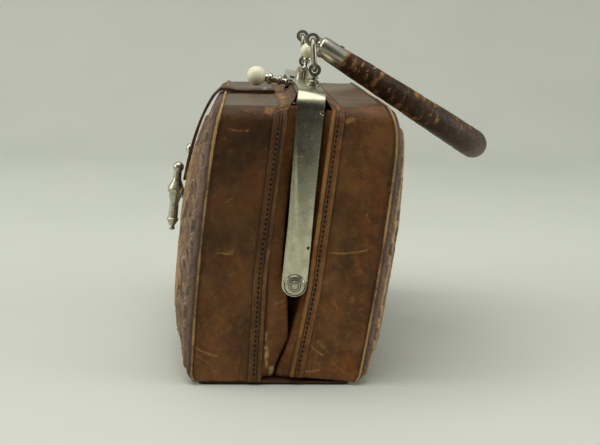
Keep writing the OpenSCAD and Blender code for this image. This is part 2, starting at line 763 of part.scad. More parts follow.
// Clasp plate with two lugs for the lever pin
module clasp_plate() {
  lug_gap = 2 * bead_r + 2 * run_gap;
  color(nickel) stand() difference() {
    union() {
      intersection() {
        plate_place() translate([0, -plate_t / 2, plate_h / 2 - plate_drop])
          cube([plate_w, plate_t, plate_h], center = true);
        plate_place() rotate([90, 0, 0]) translate([0, plate_h - plate_drop - plate_w * 0.62, 0])
          cylinder(d = plate_w * 1.24, h = 4 * plate_t, center = true, $fn = 96);
      }
      for (s = [-1, 1]) translate([s * (lug_gap + lug_t) / 2, pin_y, pin_z]) {
        rotate([0, 90, 0]) cylinder(r = bead_r, h = lug_t, center = true);
        translate([-lug_t / 2, 0, -bead_r]) cube([lug_t, -pin_y + plate_back - plate_t, 2 * bead_r]);
      }
    }
    translate([0, pin_y, pin_z]) rotate([0, 90, 0]) cylinder(d = clasp_pin_d, h = plate_w, center = true);
  }
}

module clasp_pin() {
  reach = 2 * (bead_r + run_gap + lug_t);
  color(nickel) stand() translate([0, pin_y, pin_z]) rotate([0, 90, 0])
    cylinder(d = clasp_pin_d, h = reach + 0.8, center = true);
}

// Turned lever: end bead on the pin, neck, ring bead, collar under the ball
module clasp_lever() {
  neck_l = lever_l - ball_d / 2;
  color(nickel) stand() lever_place() difference() {
    union() {
      rotate([0, 90, 0]) cylinder(r = bead_r, h = 2 * bead_r, center = true);
      rotate_extrude() polygon([[0, 0], [2, 0], [2, 5.2], [3.1, 5.9], [3.1, 7.3], [2, 8], [2.2, neck_l - 4.2],
        [3.6, neck_l - 3.4], [3.6, neck_l - 1.6], [2.6, neck_l - 0.8], [2.6, neck_l + 0.6], [1.5, neck_l + 0.6],
        [1.5, lever_l], [0, lever_l]]);
    }
    rotate([0, 90, 0]) cylinder(d = clasp_pin_d + 2 * run_gap, h = 4 * bead_r, center = true);
    lever_ball_cut();
  }
}

// Hollow that the ball fills at the end of the lever
module lever_ball_cut() {
  difference() {
    translate([0, 0, lever_l]) sphere(d = ball_d);
    cylinder(d = 3, h = lever_l);
  }
}

module lever_ball() {
  color(ivory) stand() lever_place() difference() {
    translate([0, 0, lever_l]) sphere(d = ball_d);
    cylinder(d = 3, h = lever_l);
  }
}

// Inner frame: strip that nests under the outer one, with a back flange
module inner_frame() {
  inset = jaw_t + jaw_gap;
  color(nickel) stand() difference() {
    union() {
      jaw(inset, inner_front, inner_back, inner_foot_w)
        cylinder(d = rivet_d + 2 * run_gap, h = 2 * bag_length, center = true);
      flange(inner_back - flange_t, flange_foot(1), inner_top - jaw_t / 2);
    }
    translate([-plate_w / 2 - 1, -jaw_w, inner_under - over])
      cube([plate_w + 2, jaw_w + plate_back + 1, 2 * over]);
    translate([0, catch_y, inner_under - over]) cylinder(d = catch_d, h = 2 * over);
    flange_rivet_places(0, flap_rivet_z(1)) cylinder(d = small_rivet_d, h = 2 * jaw_w, center = true);
  }
}

module inner_flap() { color(dark_brown) stand() mirror([0, 1, 0]) flap(-inner_back, 1); }

module inner_flap_rivets() { color(nickel) stand() mirror([0, 1, 0]) flap_rivets(-inner_back, 1); }

// Turned catch post on the inner strip, standing up through the slot in the outer one
module catch_turning() {
  foot = inner_under - frame_h;
  translate([0, catch_y, frame_h]) rotate_extrude() polygon(concat([[0, foot], [catch_d / 2, foot]],
    turned([[1, 0.46], [1.45, 0.5], [1.45, 0.58], [0.95, 0.62], [0.95, 0.89], [1.45, 0.92], [1.45, 1.02],
      [0.67, 1.06]], catch_d / 2, catch_h - catch_ball_d / 2),
    [[catch_d / 3, catch_h], [0, catch_h]]));
}

module catch_post() { color(nickel) stand() catch_turning(); }

module catch_ball() {
  color(ivory) stand() difference() {
    translate([0, catch_y, frame_h + catch_h]) sphere(d = catch_ball_d);
    catch_turning();
  }
}

module handle_link_right() { handle_link(1); }

module handle_link_left() { handle_link(-1); }

module ferrule_right() { ferrule(1); }

module ferrule_left() { ferrule(-1); }

module ferrule_pins() {
  color(dark_brown) for (s = [-1, 1]) ferrule_place(s) translate([0, 0, ferrule_l - 4]) rotate([90, 0, 0])
    cylinder(d = cross_pin_d, h = ferrule_d + 1, center = true);
}

// Round core of the handle, pinned in both ferrules
module handle_core() {
  insert = ferrule_l - cup_z - sewn_gap;
  color(card) handle_place() difference() {
    union() {
      for (s = [-1, 1]) translate([s * post_x, ferrule_l - insert, 0]) rotate([-90, 0, 0])
        cylinder(d = core_d, h = insert + leg_l);
      translate([0, ferrule_l + leg_l, 0])
        rotate_extrude(angle = 180) translate([post_x, 0]) circle(d = core_d);
    }
    for (s = [-1, 1]) translate([s * post_x, ferrule_l - 4, 0])
      cylinder(d = cross_pin_d, h = 2 * core_d, center = true);
  }
}

module handle_grip() {
  color(dark_brown) handle_place() arch_tube(function (s) grip_r(s), core_d / 2 + 0.2, 40, 16);
}

base_panel();
base_board();
base_lining();
gusset_right();
gusset_left();
front_band();
front_welt();
front_panel();
front_wadding();
front_board();
front_lining();
front_edge_strips();
front_strap();
strap_rivets();
strap_stud();
toggle_base();
toggle();
back_band();
back_welt();
back_panel();
back_wadding();
back_board();
back_lining();
back_edge_strips();
outer_frame();
outer_flap();
outer_flap_rivets();
pivot_rivets();
handle_posts();
clasp_plate();
clasp_pin();
clasp_lever();
lever_ball();
inner_frame();
inner_flap();
inner_flap_rivets();
catch_post();
catch_ball();
handle_link_right();
handle_link_left();
ferrule_right();
ferrule_left();
ferrule_pins();
handle_core();
handle_grip();
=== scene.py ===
"""Looks of an old doctor bag: tooled halves, worn welts, nickel frame, ball clasp and leather handle."""

import json
import math

import bmesh
import bpy
import numpy as np
from mathutils import Matrix, Vector, noise

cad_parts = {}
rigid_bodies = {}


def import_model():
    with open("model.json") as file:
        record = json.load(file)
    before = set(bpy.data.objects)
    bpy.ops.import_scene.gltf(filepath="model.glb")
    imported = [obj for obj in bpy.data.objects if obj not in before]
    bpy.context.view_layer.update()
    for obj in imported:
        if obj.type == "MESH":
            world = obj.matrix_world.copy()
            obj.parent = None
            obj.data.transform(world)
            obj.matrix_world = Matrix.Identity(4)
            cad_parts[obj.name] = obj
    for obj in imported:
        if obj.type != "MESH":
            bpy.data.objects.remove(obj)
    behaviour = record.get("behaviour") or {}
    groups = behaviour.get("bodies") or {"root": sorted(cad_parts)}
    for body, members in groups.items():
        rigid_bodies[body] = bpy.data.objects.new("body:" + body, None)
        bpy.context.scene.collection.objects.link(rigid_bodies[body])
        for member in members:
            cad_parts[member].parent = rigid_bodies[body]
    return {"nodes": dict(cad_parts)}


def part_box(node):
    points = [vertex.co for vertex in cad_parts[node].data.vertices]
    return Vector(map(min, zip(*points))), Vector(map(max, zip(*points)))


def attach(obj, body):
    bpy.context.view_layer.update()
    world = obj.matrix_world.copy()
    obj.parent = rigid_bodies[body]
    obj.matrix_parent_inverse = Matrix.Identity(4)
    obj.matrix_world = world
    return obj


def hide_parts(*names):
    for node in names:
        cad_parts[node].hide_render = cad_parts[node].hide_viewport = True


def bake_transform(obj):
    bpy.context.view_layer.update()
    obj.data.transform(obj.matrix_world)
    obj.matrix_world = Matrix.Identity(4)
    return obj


for old in list(bpy.data.objects):
    bpy.data.objects.remove(old)
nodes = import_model()["nodes"]
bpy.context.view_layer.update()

# Base: a thin sheet of brown leather under both halves, with painted contact shadow along its lowest edge by
# the table.
# A pasteboard, hidden until the bag is taken apart, lies on it under a lining of yellowed plain cloth.


def wire(node, inputs):
    """Inputs of a node, each set or linked."""
    for key, value in inputs.items():
        if isinstance(value, bpy.types.NodeSocket):
            node.id_data.links.new(value, node.inputs[key])
        else:
            node.inputs[key].default_value = value


def put(tree, kind, inputs, **settings):
    """A new node with its settings and its inputs."""
    made = tree.nodes.new(kind)
    for key, value in settings.items():
        setattr(made, key, value)
    wire(made, inputs)
    return made


def shader(name):
    """A material with its tree, its principled node and the object coordinates."""
    material = bpy.data.materials.new(name)
    material.use_nodes = True
    tree = material.node_tree
    place = tree.nodes.new("ShaderNodeTexCoord").outputs["Object"]
    return material, tree, tree.nodes["Principled BSDF"], place


def noisy(place, scale, detail=4.0, rough=0.55, warp=0.0):
    """Fractal noise around 0.5; scale is in features per metre."""
    inputs = {"Vector": place, "Scale": scale, "Detail": detail, "Roughness": rough, "Distortion": warp}
    return put(place.id_data, "ShaderNodeTexNoise", inputs).outputs["Fac"]


def ramp(value, low, high, to_low=0.0, to_high=1.0):
    """A value eased from one range to another."""
    inputs = {"Value": value, "From Min": low, "From Max": high, "To Min": to_low, "To Max": to_high}
    return put(value.id_data, "ShaderNodeMapRange", inputs, interpolation_type="SMOOTHSTEP").outputs[0]


def sums(operation, a, b):
    """Arithmetic on two values, the first of them a socket."""
    return put(a.id_data, "ShaderNodeMath", {0: a, 1: b}, operation=operation).outputs[0]


def weighed(*pairs):
    """The sum of values, each times its weight; the first value is a socket."""
    tree, total = pairs[0][0].id_data, 0.0
    for value, weight in pairs:
        inputs = {0: value, 1: weight, 2: total}
        total = put(tree, "ShaderNodeMath", inputs, operation="MULTIPLY_ADD").outputs[0]
    return total


def mixed(share, a, b):
    """Colour a turning into colour b; each is a socket or red, green and blue."""
    a, b = (c if isinstance(c, bpy.types.NodeSocket) else (*c, 1) for c in (a, b))
    return put(share.id_data, "ShaderNodeMix", {0: share, 6: a, 7: b}, data_type="RGBA").outputs[2]


def mark(tree, name):
    """A value painted on the mesh."""
    return put(tree, "ShaderNodeAttribute", {}, attribute_name=name).outputs["Fac"]


def bumped(principled, heights):
    """Bump from pairs of height and depth in metres, one on top of the other."""
    normal = None
    for height, depth in heights:
        inputs = {"Height": height, "Distance": depth, "Strength": 1.0}
        if normal is not None:
            inputs["Normal"] = normal
        normal = put(principled.id_data, "ShaderNodeBump", inputs).outputs["Normal"]
    wire(principled, {"Normal": normal})


def leather(name, tone, dark, worn, rough, sheen=0.3, grain=0.00022, fine=1.0):
    """Old leather: stains, pebbled grain, hair scratches, and rubs where the mesh is marked worn; colour is
    scaled by marked fading and painted light, and darkened where painted shade is marked.
    """
    material, tree, principled, place = shader(name)
    stain = ramp(noisy(place, 36.0 * fine, 8.0, 0.66), 0.38, 0.64)
    colour = mixed(stain, dark, tone)
    reddened = ramp(noisy(place, 62.0 * fine, 6.0, 0.68, 0.4), 0.46, 0.7, 0.0, 0.7)
    colour = mixed(reddened, colour, (1.15 * tone[0], 0.74 * tone[1], 0.66 * tone[2]))
    mottled = ramp(noisy(place, 190.0 * fine, 8.0, 0.78, 0.5), 0.42, 0.72, 0.0, 0.6)
    colour = mixed(mottled, colour, [1.5 * c for c in tone])
    faded = weighed((mark(tree, "fade"), 1.2), (1.0, 1.0))
    colour = put(tree, "ShaderNodeVectorMath", {0: colour, 3: faded}, operation="SCALE").outputs[0]
    speck = noisy(place, 640.0, 6.0, 0.75)
    broad = noisy(place, 95.0 * fine, 5.0, 0.7)
    rubbed = ramp(weighed((mark(tree, "wear"), 0.62), (speck, 0.45), (broad, 0.55)), 0.66, 1.0)
    scuffed = ramp(weighed((mark(tree, "scuff"), 0.7), (speck, 1.0)), 0.72, 1.05)
    bare = sums("MAXIMUM", rubbed, scuffed)
    for angle in (0.5, -1.1):
        inputs = {"Vector": place, "Rotation": (angle, 0, 0), "Scale": (1, 8, 1)}
        drawn = put(tree, "ShaderNodeMapping", inputs, vector_type="TEXTURE").outputs[0]
        across = sums("SUBTRACT", noisy(drawn, 110.0, 1.0, 0.5, 0.2), 0.5)
        hair = ramp(sums("ABSOLUTE", across, 0.0), 0.012, 0.004)
        hair = sums("MULTIPLY", hair, ramp(noisy(place, 70.0, 3.0), 0.56, 0.66, 0.0, 0.4))
        bare = sums("MAXIMUM", bare, hair)
    colour = mixed(bare, colour, worn)
    shade = ramp(mark(tree, "shade"), 0.0, 1.0, 0.0, 0.92)
    gloss = mark(tree, "gloss")
    dull = ramp(sums("ADD", speck, bare), 0.3, 1.4, rough - 0.1, rough + 0.22)
    wire(principled, {
        "Base Color": mixed(shade, colour, [0.16 * c for c in dark]),
        "Specular IOR Level": weighed((gloss, 0.35), (sheen, 1.0)),
        "Roughness": weighed((dull, 1.0), (gloss, -0.16)),
    })
    pebble = put(tree, "ShaderNodeTexVoronoi", {"Vector": place, "Scale": 820.0}, feature="SMOOTH_F1")
    creases, pores = noisy(place, 120.0, 6.0, 0.6), noisy(place, 2300.0, 2.0)
    bumped(principled, [(creases, 0.0009), (pebble.outputs["Distance"], grain), (pores, 0.00008)])
    return material


def woven(name, thread, gap, pitch):
    """Plain cloth: crossed threads, stained in patches."""
    material, tree, principled, place = shader(name)
    waves = []
    for axis in ("X", "Z"):
        inputs = {"Vector": place, "Scale": 0.31 / pitch, "Distortion": 0.6, "Detail": 1.0}
        waves.append(put(tree, "ShaderNodeTexWave", inputs, bands_direction=axis).outputs["Fac"])
    weave = sums("MULTIPLY", *waves)
    stain = ramp(noisy(place, 30.0, 6.0, 0.6), 0.35, 0.7, 0.0, 0.45)
    colour = mixed(stain, mixed(weave, gap, thread), [0.5 * c for c in thread])
    wire(principled, {"Base Color": colour, "Roughness": 0.92})
    bumped(principled, [(weave, 0.0002)])
    return material


by_angle = bpy.data.node_groups.new("smooth_by_angle", "GeometryNodeTree")
for way in ("INPUT", "OUTPUT"):
    by_angle.interface.new_socket("Geometry", in_out=way, socket_type="NodeSocketGeometry")
form = put(by_angle, "NodeGroupInput", {}).outputs[0]
turn = put(by_angle, "GeometryNodeInputMeshEdgeAngle", {}).outputs["Unsigned Angle"]
soft = put(by_angle, "FunctionNodeCompare", {0: turn, 1: math.radians(32)}, operation="LESS_EQUAL").outputs[0]
shaded = put(by_angle, "GeometryNodeSetShadeSmooth", {"Geometry": form, "Shade Smooth": soft}, domain="EDGE")
put(by_angle, "NodeGroupOutput", {0: shaded.outputs[0]})


def fitted(node, material, bevel=0.0):
    """A CAD node shown as it is, with soft edges and its material."""
    shown = nodes[node]
    shown.data.materials.clear()
    shown.data.materials.append(material)
    weld = shown.modifiers.new("weld", "WELD")
    weld.merge_threshold = 0.00001
    if bevel:
        flat = shown.modifiers.new("flat", "DECIMATE")
        flat.decimate_type = "DISSOLVE"
        flat.angle_limit = math.radians(0.6)
        edges = shown.modifiers.new("edges", "BEVEL")
        edges.width = bevel
        edges.segments = 3
        edges.limit_method = "ANGLE"
        edges.angle_limit = math.radians(38)
    shown.data.shade_smooth()
    smooth = shown.modifiers.new("smooth", "NODES")
    smooth.node_group = by_angle


base_leather = leather("base_leather", (0.11, 0.05, 0.018), (0.05, 0.022, 0.009), (0.34, 0.19, 0.07), 0.6)
lining_cloth = woven("lining_cloth", (0.42, 0.33, 0.2), (0.2, 0.15, 0.09), 0.0009)
card_board = woven("pasteboard", (0.34, 0.26, 0.17), (0.27, 0.2, 0.13), 0.0021)
tree = base_leather.node_tree
base_colour = tree.nodes["Principled BSDF"].inputs["Base Color"]
place = tree.nodes.new("ShaderNodeTexCoord").outputs["Object"]
above = put(tree, "ShaderNodeSeparateXYZ", {0: place}).outputs["Z"]
# Painted contact shadow: the base goes near black in its lowest two millimetres.
contact_shadow_mask = ramp(above, 0.0019, 0.0007, 0.0, 0.95)
painted_contact_shadow = mixed(contact_shadow_mask, base_colour.links[0].from_socket, (0.004, 0.003, 0.002))
tree.links.new(painted_contact_shadow, base_colour)
fitted("base_panel", base_leather, 0.0006)
fitted("base_board", card_board)
fitted("base_lining", lining_cloth)

# Bag form: the bag stands on its base and leans to its back, so shapes are worked out upright in millimetres
# and then leaned. Side -1 is the front half and 1 the back half; end 1 is the near end and -1 the far one.
LEAN = math.radians(6.5)
HALF, HEIGHT, CORNER, FLOOR = 117.0, 158.0, 10.0, 2.3
WELT, BELLY_Z, FOOT_Y, BACK_FOOT = 50.5, 100.0, 43.0, 5.6
MOUTH, MOUTH_FOOT = 12.0, 8.0
RIVET = (4.2, 59.5)
SHOULDER = {-1: (47.8, 4.4), 1: (42.5, 6.0)}


def unit(values):
    """Values kept within 0 and 1."""
    return np.clip(values, 0, 1)


def top_z(y):
    """Upright height of the top, which is level once the bag leans."""
    return (HEIGHT + y * math.sin(LEAN)) / math.cos(LEAN)


def shoulder_z(side):
    """Upright height of the shoulder of a half."""
    return top_z(side * SHOULDER[side][0])


def low_z(side):
    """Upright height of the foot of a half."""
    out = FOOT_Y + (BACK_FOOT if side > 0 else 0)
    return (FLOOR + side * out * math.sin(LEAN)) / math.cos(LEAN)


def welt_y(z, side):
    """Distance of the welt from the mid plane: drawn in at the rounded foot and at the shoulder."""
    shoulder, power = SHOULDER[side]
    rounding = 2 * np.maximum(0, 1 - (z - low_z(side)) / 5) ** 2
    low = WELT - 3.5 * ((BELLY_Z - z) / BELLY_Z) ** 2 - rounding
    high = WELT - (WELT - shoulder) * (np.maximum(z - BELLY_Z, 0) / (shoulder_z(side) - BELLY_Z)) ** power
    return np.where(z < BELLY_Z, low, high)


def mouth_y(z):
    """Distance of the mouth edge from the mid plane: it narrows below the rivet."""
    return MOUTH - (MOUTH - MOUTH_FOOT) * unit((RIVET[1] - z) / RIVET[1])


def leaned(points):
    """Upright millimetres to leaned metres."""
    x, y, z = np.moveaxis(np.asarray(points, float), -1, 0)
    tilted = [x, y * math.cos(LEAN) + z * math.sin(LEAN), z * math.cos(LEAN) - y * math.sin(LEAN)]
    return np.stack(tilted, -1).reshape(-1, 3) / 1000


def loft(rows, columns, closed=True, start=0):
    """Quads between rows of points; closed joins the last column to the first."""
    i, j = np.meshgrid(np.arange(rows - 1), np.arange(columns if closed else columns - 1), indexing="ij")
    k = (j + 1) % columns
    quads = np.stack([i * columns + j, i * columns + k, (i + 1) * columns + k, (i + 1) * columns + j], -1)
    return [tuple(q) for q in (quads.reshape(-1, 4) + start).tolist()]


def tube(rows, columns):
    """Quads around rings of points, with a face on the first and on the last ring."""
    last = (rows - 1) * columns
    return loft(rows, columns) + [tuple(range(columns)), tuple(range(last, last + columns))]


def placed(name, data):
    """A new object in the scene."""
    made = bpy.data.objects.new(name, data)
    bpy.context.scene.collection.objects.link(made)
    return made


def piece(name, points, faces, material, body, replaced=(), slot=None, **marks):
    """A smooth mesh in the leaned frame that rides on a body, with values marked on its points."""
    mesh = bpy.data.meshes.new(name)
    mesh.from_pydata(leaned(points).tolist(), [], faces)
    work = bmesh.new()
    work.from_mesh(mesh)
    bmesh.ops.recalc_face_normals(work, faces=work.faces)
    work.to_mesh(mesh)
    work.free()
    mesh.materials.append(material)
    for mark_name, values in marks.items():
        attribute = mesh.attributes.new(mark_name, "FLOAT", "POINT")
        attribute.data.foreach_set("value", np.asarray(values, np.float32).ravel())
    mesh.shade_smooth()
    made = placed(name, mesh)
    if body:
        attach(made, body)
    if replaced:
        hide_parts(*replaced)
    return made


def wavy(points, size, seed):
    """Smooth noise of about -1 to 1 at points in millimetres."""
    flat = np.asarray(points, float).reshape(-1, 3)
    offset = Vector((seed * 17.3, seed * 5.1, seed * 9.7))
    values = [noise.noise(Vector(p) / size + offset) for p in flat]
    return np.array(values).reshape(np.asarray(points).shape[:-1])


# Gussets: a soft brown leather sheet at each end, folded inwards between the halves and sewn to their edges.
# Each is shown as two leaves from the fold to a half; the near front leaf is torn pale at its foot.
GUSSET_TONES = (0.285, 0.121, 0.037), (0.175, 0.07, 0.0225), (0.74, 0.54, 0.24)
gusset_leather = leather("gusset_leather", *GUSSET_TONES, 0.62)
LEAF_ROWS, LEAF_RUN, LEAF_HEIGHT, LEAF_THICK = 90, 48, 153, 1.1
CREST = {-1: ([0, 5, 23, 32, 49, 65, 98, 157], [0.8, 0.6, -4.8, -3.7, -0.9, 4.0, 5.6, 6.3]),
         1: ([0, 7, 15, 23, 32, 50, 60, 157], [0.8, 2.2, 4.6, 6.5, 7.8, 10.0, 10.4, 9.8])}
TEAR = (((-8.3, 31), (-7.2, 21), 1.3), ((-7.4, 23), (-4.8, 11), 1.8), ((-5.8, 14), (0.2, 2.2), 2.6),
        ((-4.2, 9), (-0.8, 2.2), 2.2))


def segment_mark(points, start, stop, width):
    """One on a slightly bowed line in y and z, fading to nothing past its width and towards its ends."""
    a, b = np.array(start, float), np.array(stop, float)
    p = points[..., 1:]
    t = unit(((p - a) @ (b - a)) / ((b - a) @ (b - a)))
    bow = 0.06 * np.linalg.norm(b - a) * np.sin(t * math.pi)
    away = np.linalg.norm(p - (a + t[..., None] * (b - a)) + np.stack([0 * bow, bow], -1), axis=-1)
    return unit(1.35 - away / width) * unit(4 * np.minimum(t, 1 - t) + 0.15)


def eased(values, reach):
    """A line of values with its corners rounded."""
    longer = np.pad(values, reach, mode="reflect", reflect_type="odd")
    window = np.hanning(2 * reach + 3)
    return np.convolve(longer, window[1:-1] / window.sum(), "valid")


def bell(values, middle, width):
    """One at the middle, falling away over the width."""
    return np.exp(-(((values - middle) / width) ** 2))


for end, side in ((1, -1), (1, 1), (-1, -1), (-1, 1)):
    end_name, half_name = "right" if end > 0 else "left", "front" if side < 0 else "back"
    # The leaf comes out from the fold to a soft crest, then turns to the sewn edge.
    run = np.linspace(0, 1, LEAF_RUN)
    stations = [0, 0.42, 0.5, 0.72, 1]
    depth = eased(np.interp(run, stations, [92.1, 107.2, 109.6, 112.4, 113.4]), 3)
    top = np.interp(run, [0, 0.38, 0.5, 0.7, 1], [146.5, 152, 158.5, 158, 156])
    grid = np.zeros((LEAF_ROWS, LEAF_RUN, 3))
    for row, t in enumerate(np.linspace(0, 1, LEAF_ROWS)):
        edge = float(mouth_y(t * LEAF_HEIGHT))
        crest = min(np.interp(t * LEAF_HEIGHT, *CREST[side]), edge - 1.5)
        y = eased(np.interp(run, stations, [0, crest - 0.8, crest, edge + 0.5, edge + 7.4]), 3)
        foot = (FLOOR + 0.6 + side * y * math.sin(LEAN)) / math.cos(LEAN)
        grid[row] = np.stack([end * depth, side * y, foot + t * (top - foot)], -1)
    ripple = 1.1 * wavy(grid * (1, 1, 0.55), 21, 3 + end + 2 * side) + 0.4 * wavy(grid, 7, 5)
    free = np.sin(unit(run / 0.72) * math.pi) * 0.6
    tear = np.zeros((LEAF_ROWS, LEAF_RUN))
    if end == 1 and side == -1:
        for start, stop, width in TEAR:
            tear = np.maximum(tear, segment_mark(grid, start, stop, width))
        tear *= unit(0.8 + 1.5 * wavy(grid, 2.9, 17))
    grid[:, :, 0] += end * (ripple * free - 0.5 + 0.7 * tear * wavy(grid, 2.2, 14))
    inner = grid - (end * LEAF_THICK, 0, 0)
    points = np.concatenate([grid, inner[:, ::-1]], 1)
    across = np.concatenate([run, run[::-1]])
    scuff = 0.95 * np.concatenate([tear, 0 * tear], 1)
    wear = 0.12 + 0.15 * bell(across, 0.53, 0.06)
    shade = unit((0.5 - across) / 0.12) + (0.95 if side < 0 else 0.6) * bell(across, 0.7, 0.02)
    wear, shade = (np.repeat(values[None], LEAF_ROWS, 0) for values in (wear, shade))
    leaf = piece(f"gusset_{end_name}_{half_name}_leaf", points, tube(LEAF_ROWS, 2 * LEAF_RUN),
                 gusset_leather, None, slot="gusset_leather", wear=wear, scuff=scuff, shade=shade)
    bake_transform(leaf)
    if side == -1:
        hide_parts(f"gusset_{end_name}")


# Halves: shallow boxes of stout brown leather bent over the shoulders, open at the mouth and at the panel.
# The ends are dark and dull, with tan rubs at the edges, scratches and soft dents, and painted light lightens
# their lower parts; the top is glossier.
BAND_TONES = (0.122, 0.053, 0.016), (0.061, 0.027, 0.0086), (0.33, 0.168, 0.05)
band_leather = leather("band_leather", *BAND_TONES, 0.55, 0.21)
END_ROWS, ARC_ROWS, TOP_ROWS, BAND_COLUMNS, INNER_COLUMNS = 190, 12, 60, 58, 14
TO_WELT = 100
SCUFFS = {
    -1: [((-43.5, 72.3), (-30, 74.8), 0.6, 0.7), ((-41, 73.7), (-29.5, 76.3), 0.5, 0.65),
         ((-38, 72.2), (-31, 73.2), 0.5, 0.6), ((-49, 18), (-31, 13), 0.8, 0.85),
         ((-47, 14), (-36, 8), 0.7, 0.75), ((-46, 21), (-28, 17), 0.6, 0.6),
         ((-40, 118), (-33, 96), 0.6, 0.5), ((-46, 142), (-29, 143), 1.0, 0.55),
         ((-26, 154), (-16, 155), 3.2, 0.6), ((-41, 100), (-35, 106), 0.8, 0.55),
         ((-44, 52), (-37, 46), 0.8, 0.55), ((-30, 30), (-24, 44), 0.7, 0.5),
         ((-20, 60), (-17, 84), 0.8, 0.45), ((-50, 40), (-47, 64), 0.7, 0.45)],
    1: [((18, 80), (46, 86), 0.8, 0.85), ((15, 28), (27, 20), 0.9, 0.85), ((13, 10), (27, 13), 1.0, 0.85),
        ((20, 30), (28, 24), 0.8, 0.7), ((38, 106), (42, 98), 0.9, 0.6), ((16, 152), (26, 157), 2.4, 0.6),
        ((30, 55), (44, 58), 0.7, 0.55), ((25, 130), (38, 124), 0.7, 0.5), ((40, 35), (36, 52), 0.7, 0.5),
        ((24, 70), (30, 60), 0.7, 0.5), ((30, 18), (42, 12), 0.8, 0.6), ((22, 112), (25, 96), 0.7, 0.45)],
}


def foot_z(y, side):
    """Upright height at which a half is cut off, at the signed y; the back half rises towards the mouth."""
    slope = math.tan(math.radians(5)) if side > 0 else 0.0
    floor = FLOOR + (FOOT_Y - y) * slope
    return (floor + y * math.sin(LEAN)) / math.cos(LEAN)


def arch_rows(ends_only=False, stop=90):
    """Rows up the near end, over the top and down the far end: kind, end, and a share or an angle."""
    up = [("end", 1, t) for t in np.linspace(0, 1, END_ROWS)]
    up += [("arc", 1, a) for a in np.linspace(0, stop, ARC_ROWS)[1:]]
    if ends_only:
        return up
    flat = [("top", 1, s) for s in np.linspace(1, -1, TOP_ROWS)[1:]]
    down = [("arc", -1, a) for a in np.linspace(90, 0, ARC_ROWS)[1:]]
    return up + flat + down + [("end", -1, t) for t in np.linspace(1, 0, END_ROWS)[1:]]


def on_band(side, rows, across, depth):
    """Points over the band. Across is the distance from the mouth edge, or TO_WELT plus a share of the way
    to the welt; depth is outwards."""
    top, foot = shoulder_z(side), low_z(side)
    level = np.ones(len(across))
    made = np.zeros((len(rows), len(across), 3))
    for r, (kind, end, value) in enumerate(rows):
        if kind == "end":
            z = foot + value * (top - CORNER - foot) * level
            normal, x = (end, 0), end * HALF
        elif kind == "arc":
            a = math.radians(value)
            z = top - CORNER + CORNER * math.sin(a) * level
            normal, x = (end * math.cos(a), math.sin(a)), end * (HALF - CORNER + CORNER * math.cos(a))
        else:
            z = top * level
            normal, x = (0, 1), value * (HALF - CORNER)
        edge, welt = mouth_y(z), welt_y(z, side)
        y = side * np.where(across > TO_WELT, edge + (across - TO_WELT) * (welt - edge), edge + across)
        if kind == "end":
            low = foot_z(y, side)
            z = low + value * (top - CORNER - low)
        z = z + unit((z - BELLY_Z) / (top - BELLY_Z)) * (top_z(y) - top)
        d = depth[r] if depth.ndim == 2 else depth
        made[r] = np.stack([x + normal[0] * d, y, z + normal[1] * d], -1)
    return made


def band(side, half_name):
    """The bent leather of a half, closed and 3 mm thick."""
    rows = arch_rows()
    outer = TO_WELT + np.linspace(0.06, 1, BAND_COLUMNS)
    inner = TO_WELT + np.linspace(0.06, 0.97, INNER_COLUMNS)
    ring = np.concatenate([[0.4, 0.0, 0.0, 0.4], inner, [TO_WELT + 1.0], outer[::-1]])
    sink = np.zeros(len(ring))
    sink[:-BAND_COLUMNS] = [-0.3, -0.9, -2.1, -2.7, *[-3.0] * INNER_COLUMNS, -2.6]
    points = on_band(side, rows, ring, sink)
    soft = np.zeros(len(ring))
    soft[-BAND_COLUMNS:] = np.sqrt(np.abs(np.sin(np.linspace(math.pi, 0, BAND_COLUMNS))))
    dent = 0.55 * wavy(points, 34, 2 + side) + 0.22 * wavy(points, 11, 4 + side)
    moved = on_band(side, rows, ring, sink[None] + dent * soft[None])
    height = moved[..., 2] / shoulder_z(side)
    on_end = np.abs(points[..., 0]) > HALF - 2
    share = unit((np.abs(points[..., 1]) - MOUTH) / 37)
    wear = 0.3 * unit(1 - height / 0.08) + 0.3 * unit(1 - share / 0.05)
    wear += 0.22 * unit((share - 0.9) / 0.1)
    bend = unit(1 - np.abs(np.abs(points[..., 0]) - (HALF - 4)) / 5) * (height > 0.93)
    wear += 0.3 * bend + 0.35 * unit(wavy(points, 40, 9 + side) - 0.15)
    wear += np.where(on_end, 0.0, 0.3 * unit(1 - np.abs(share - 0.1) / 0.16))
    # Painted light: lighter towards the foot as if lit from the table, and lighter on the back half; painted
    # shade high on the front; the noise is uneven fading.
    fade = 0.5 * unit(1 - height / 0.75) ** 2 + 0.35 * wavy(points, 24, 19 + side)
    fade += 0.18 if side > 0 else -0.3 * unit((height - 0.7) / 0.2)
    gloss = unit((HALF - 5 - np.abs(points[..., 0])) / 5)
    scuff = np.zeros(points.shape[:2])
    for start, stop, width, strength in SCUFFS[side]:
        scuff = np.maximum(scuff, strength * segment_mark(moved, start, stop, width))
    shade = 0.5 * unit(1 - np.abs(share - 0.975) / 0.03) * on_end
    shade += 0.55 * unit(1 - np.abs(share - 0.22) / 0.016) * on_end
    piece(f"{half_name}_band_skin", moved, tube(len(rows), len(ring)), band_leather, f"{half_name}_half",
          [f"{half_name}_band"], "band_leather", wear=wear, scuff=scuff, shade=shade, fade=fade, gloss=gloss)


# Welt: a rolled strip of leather sewn between band and panel, all along the rim of each half.
# Its colour is rubbed through to tan along the crest, and it is chipped near the front shoulders.
welt_leather = leather("welt_leather", (0.11, 0.05, 0.018), (0.05, 0.022, 0.009), (0.44, 0.26, 0.095), 0.5)
WELT_SIDES = 14


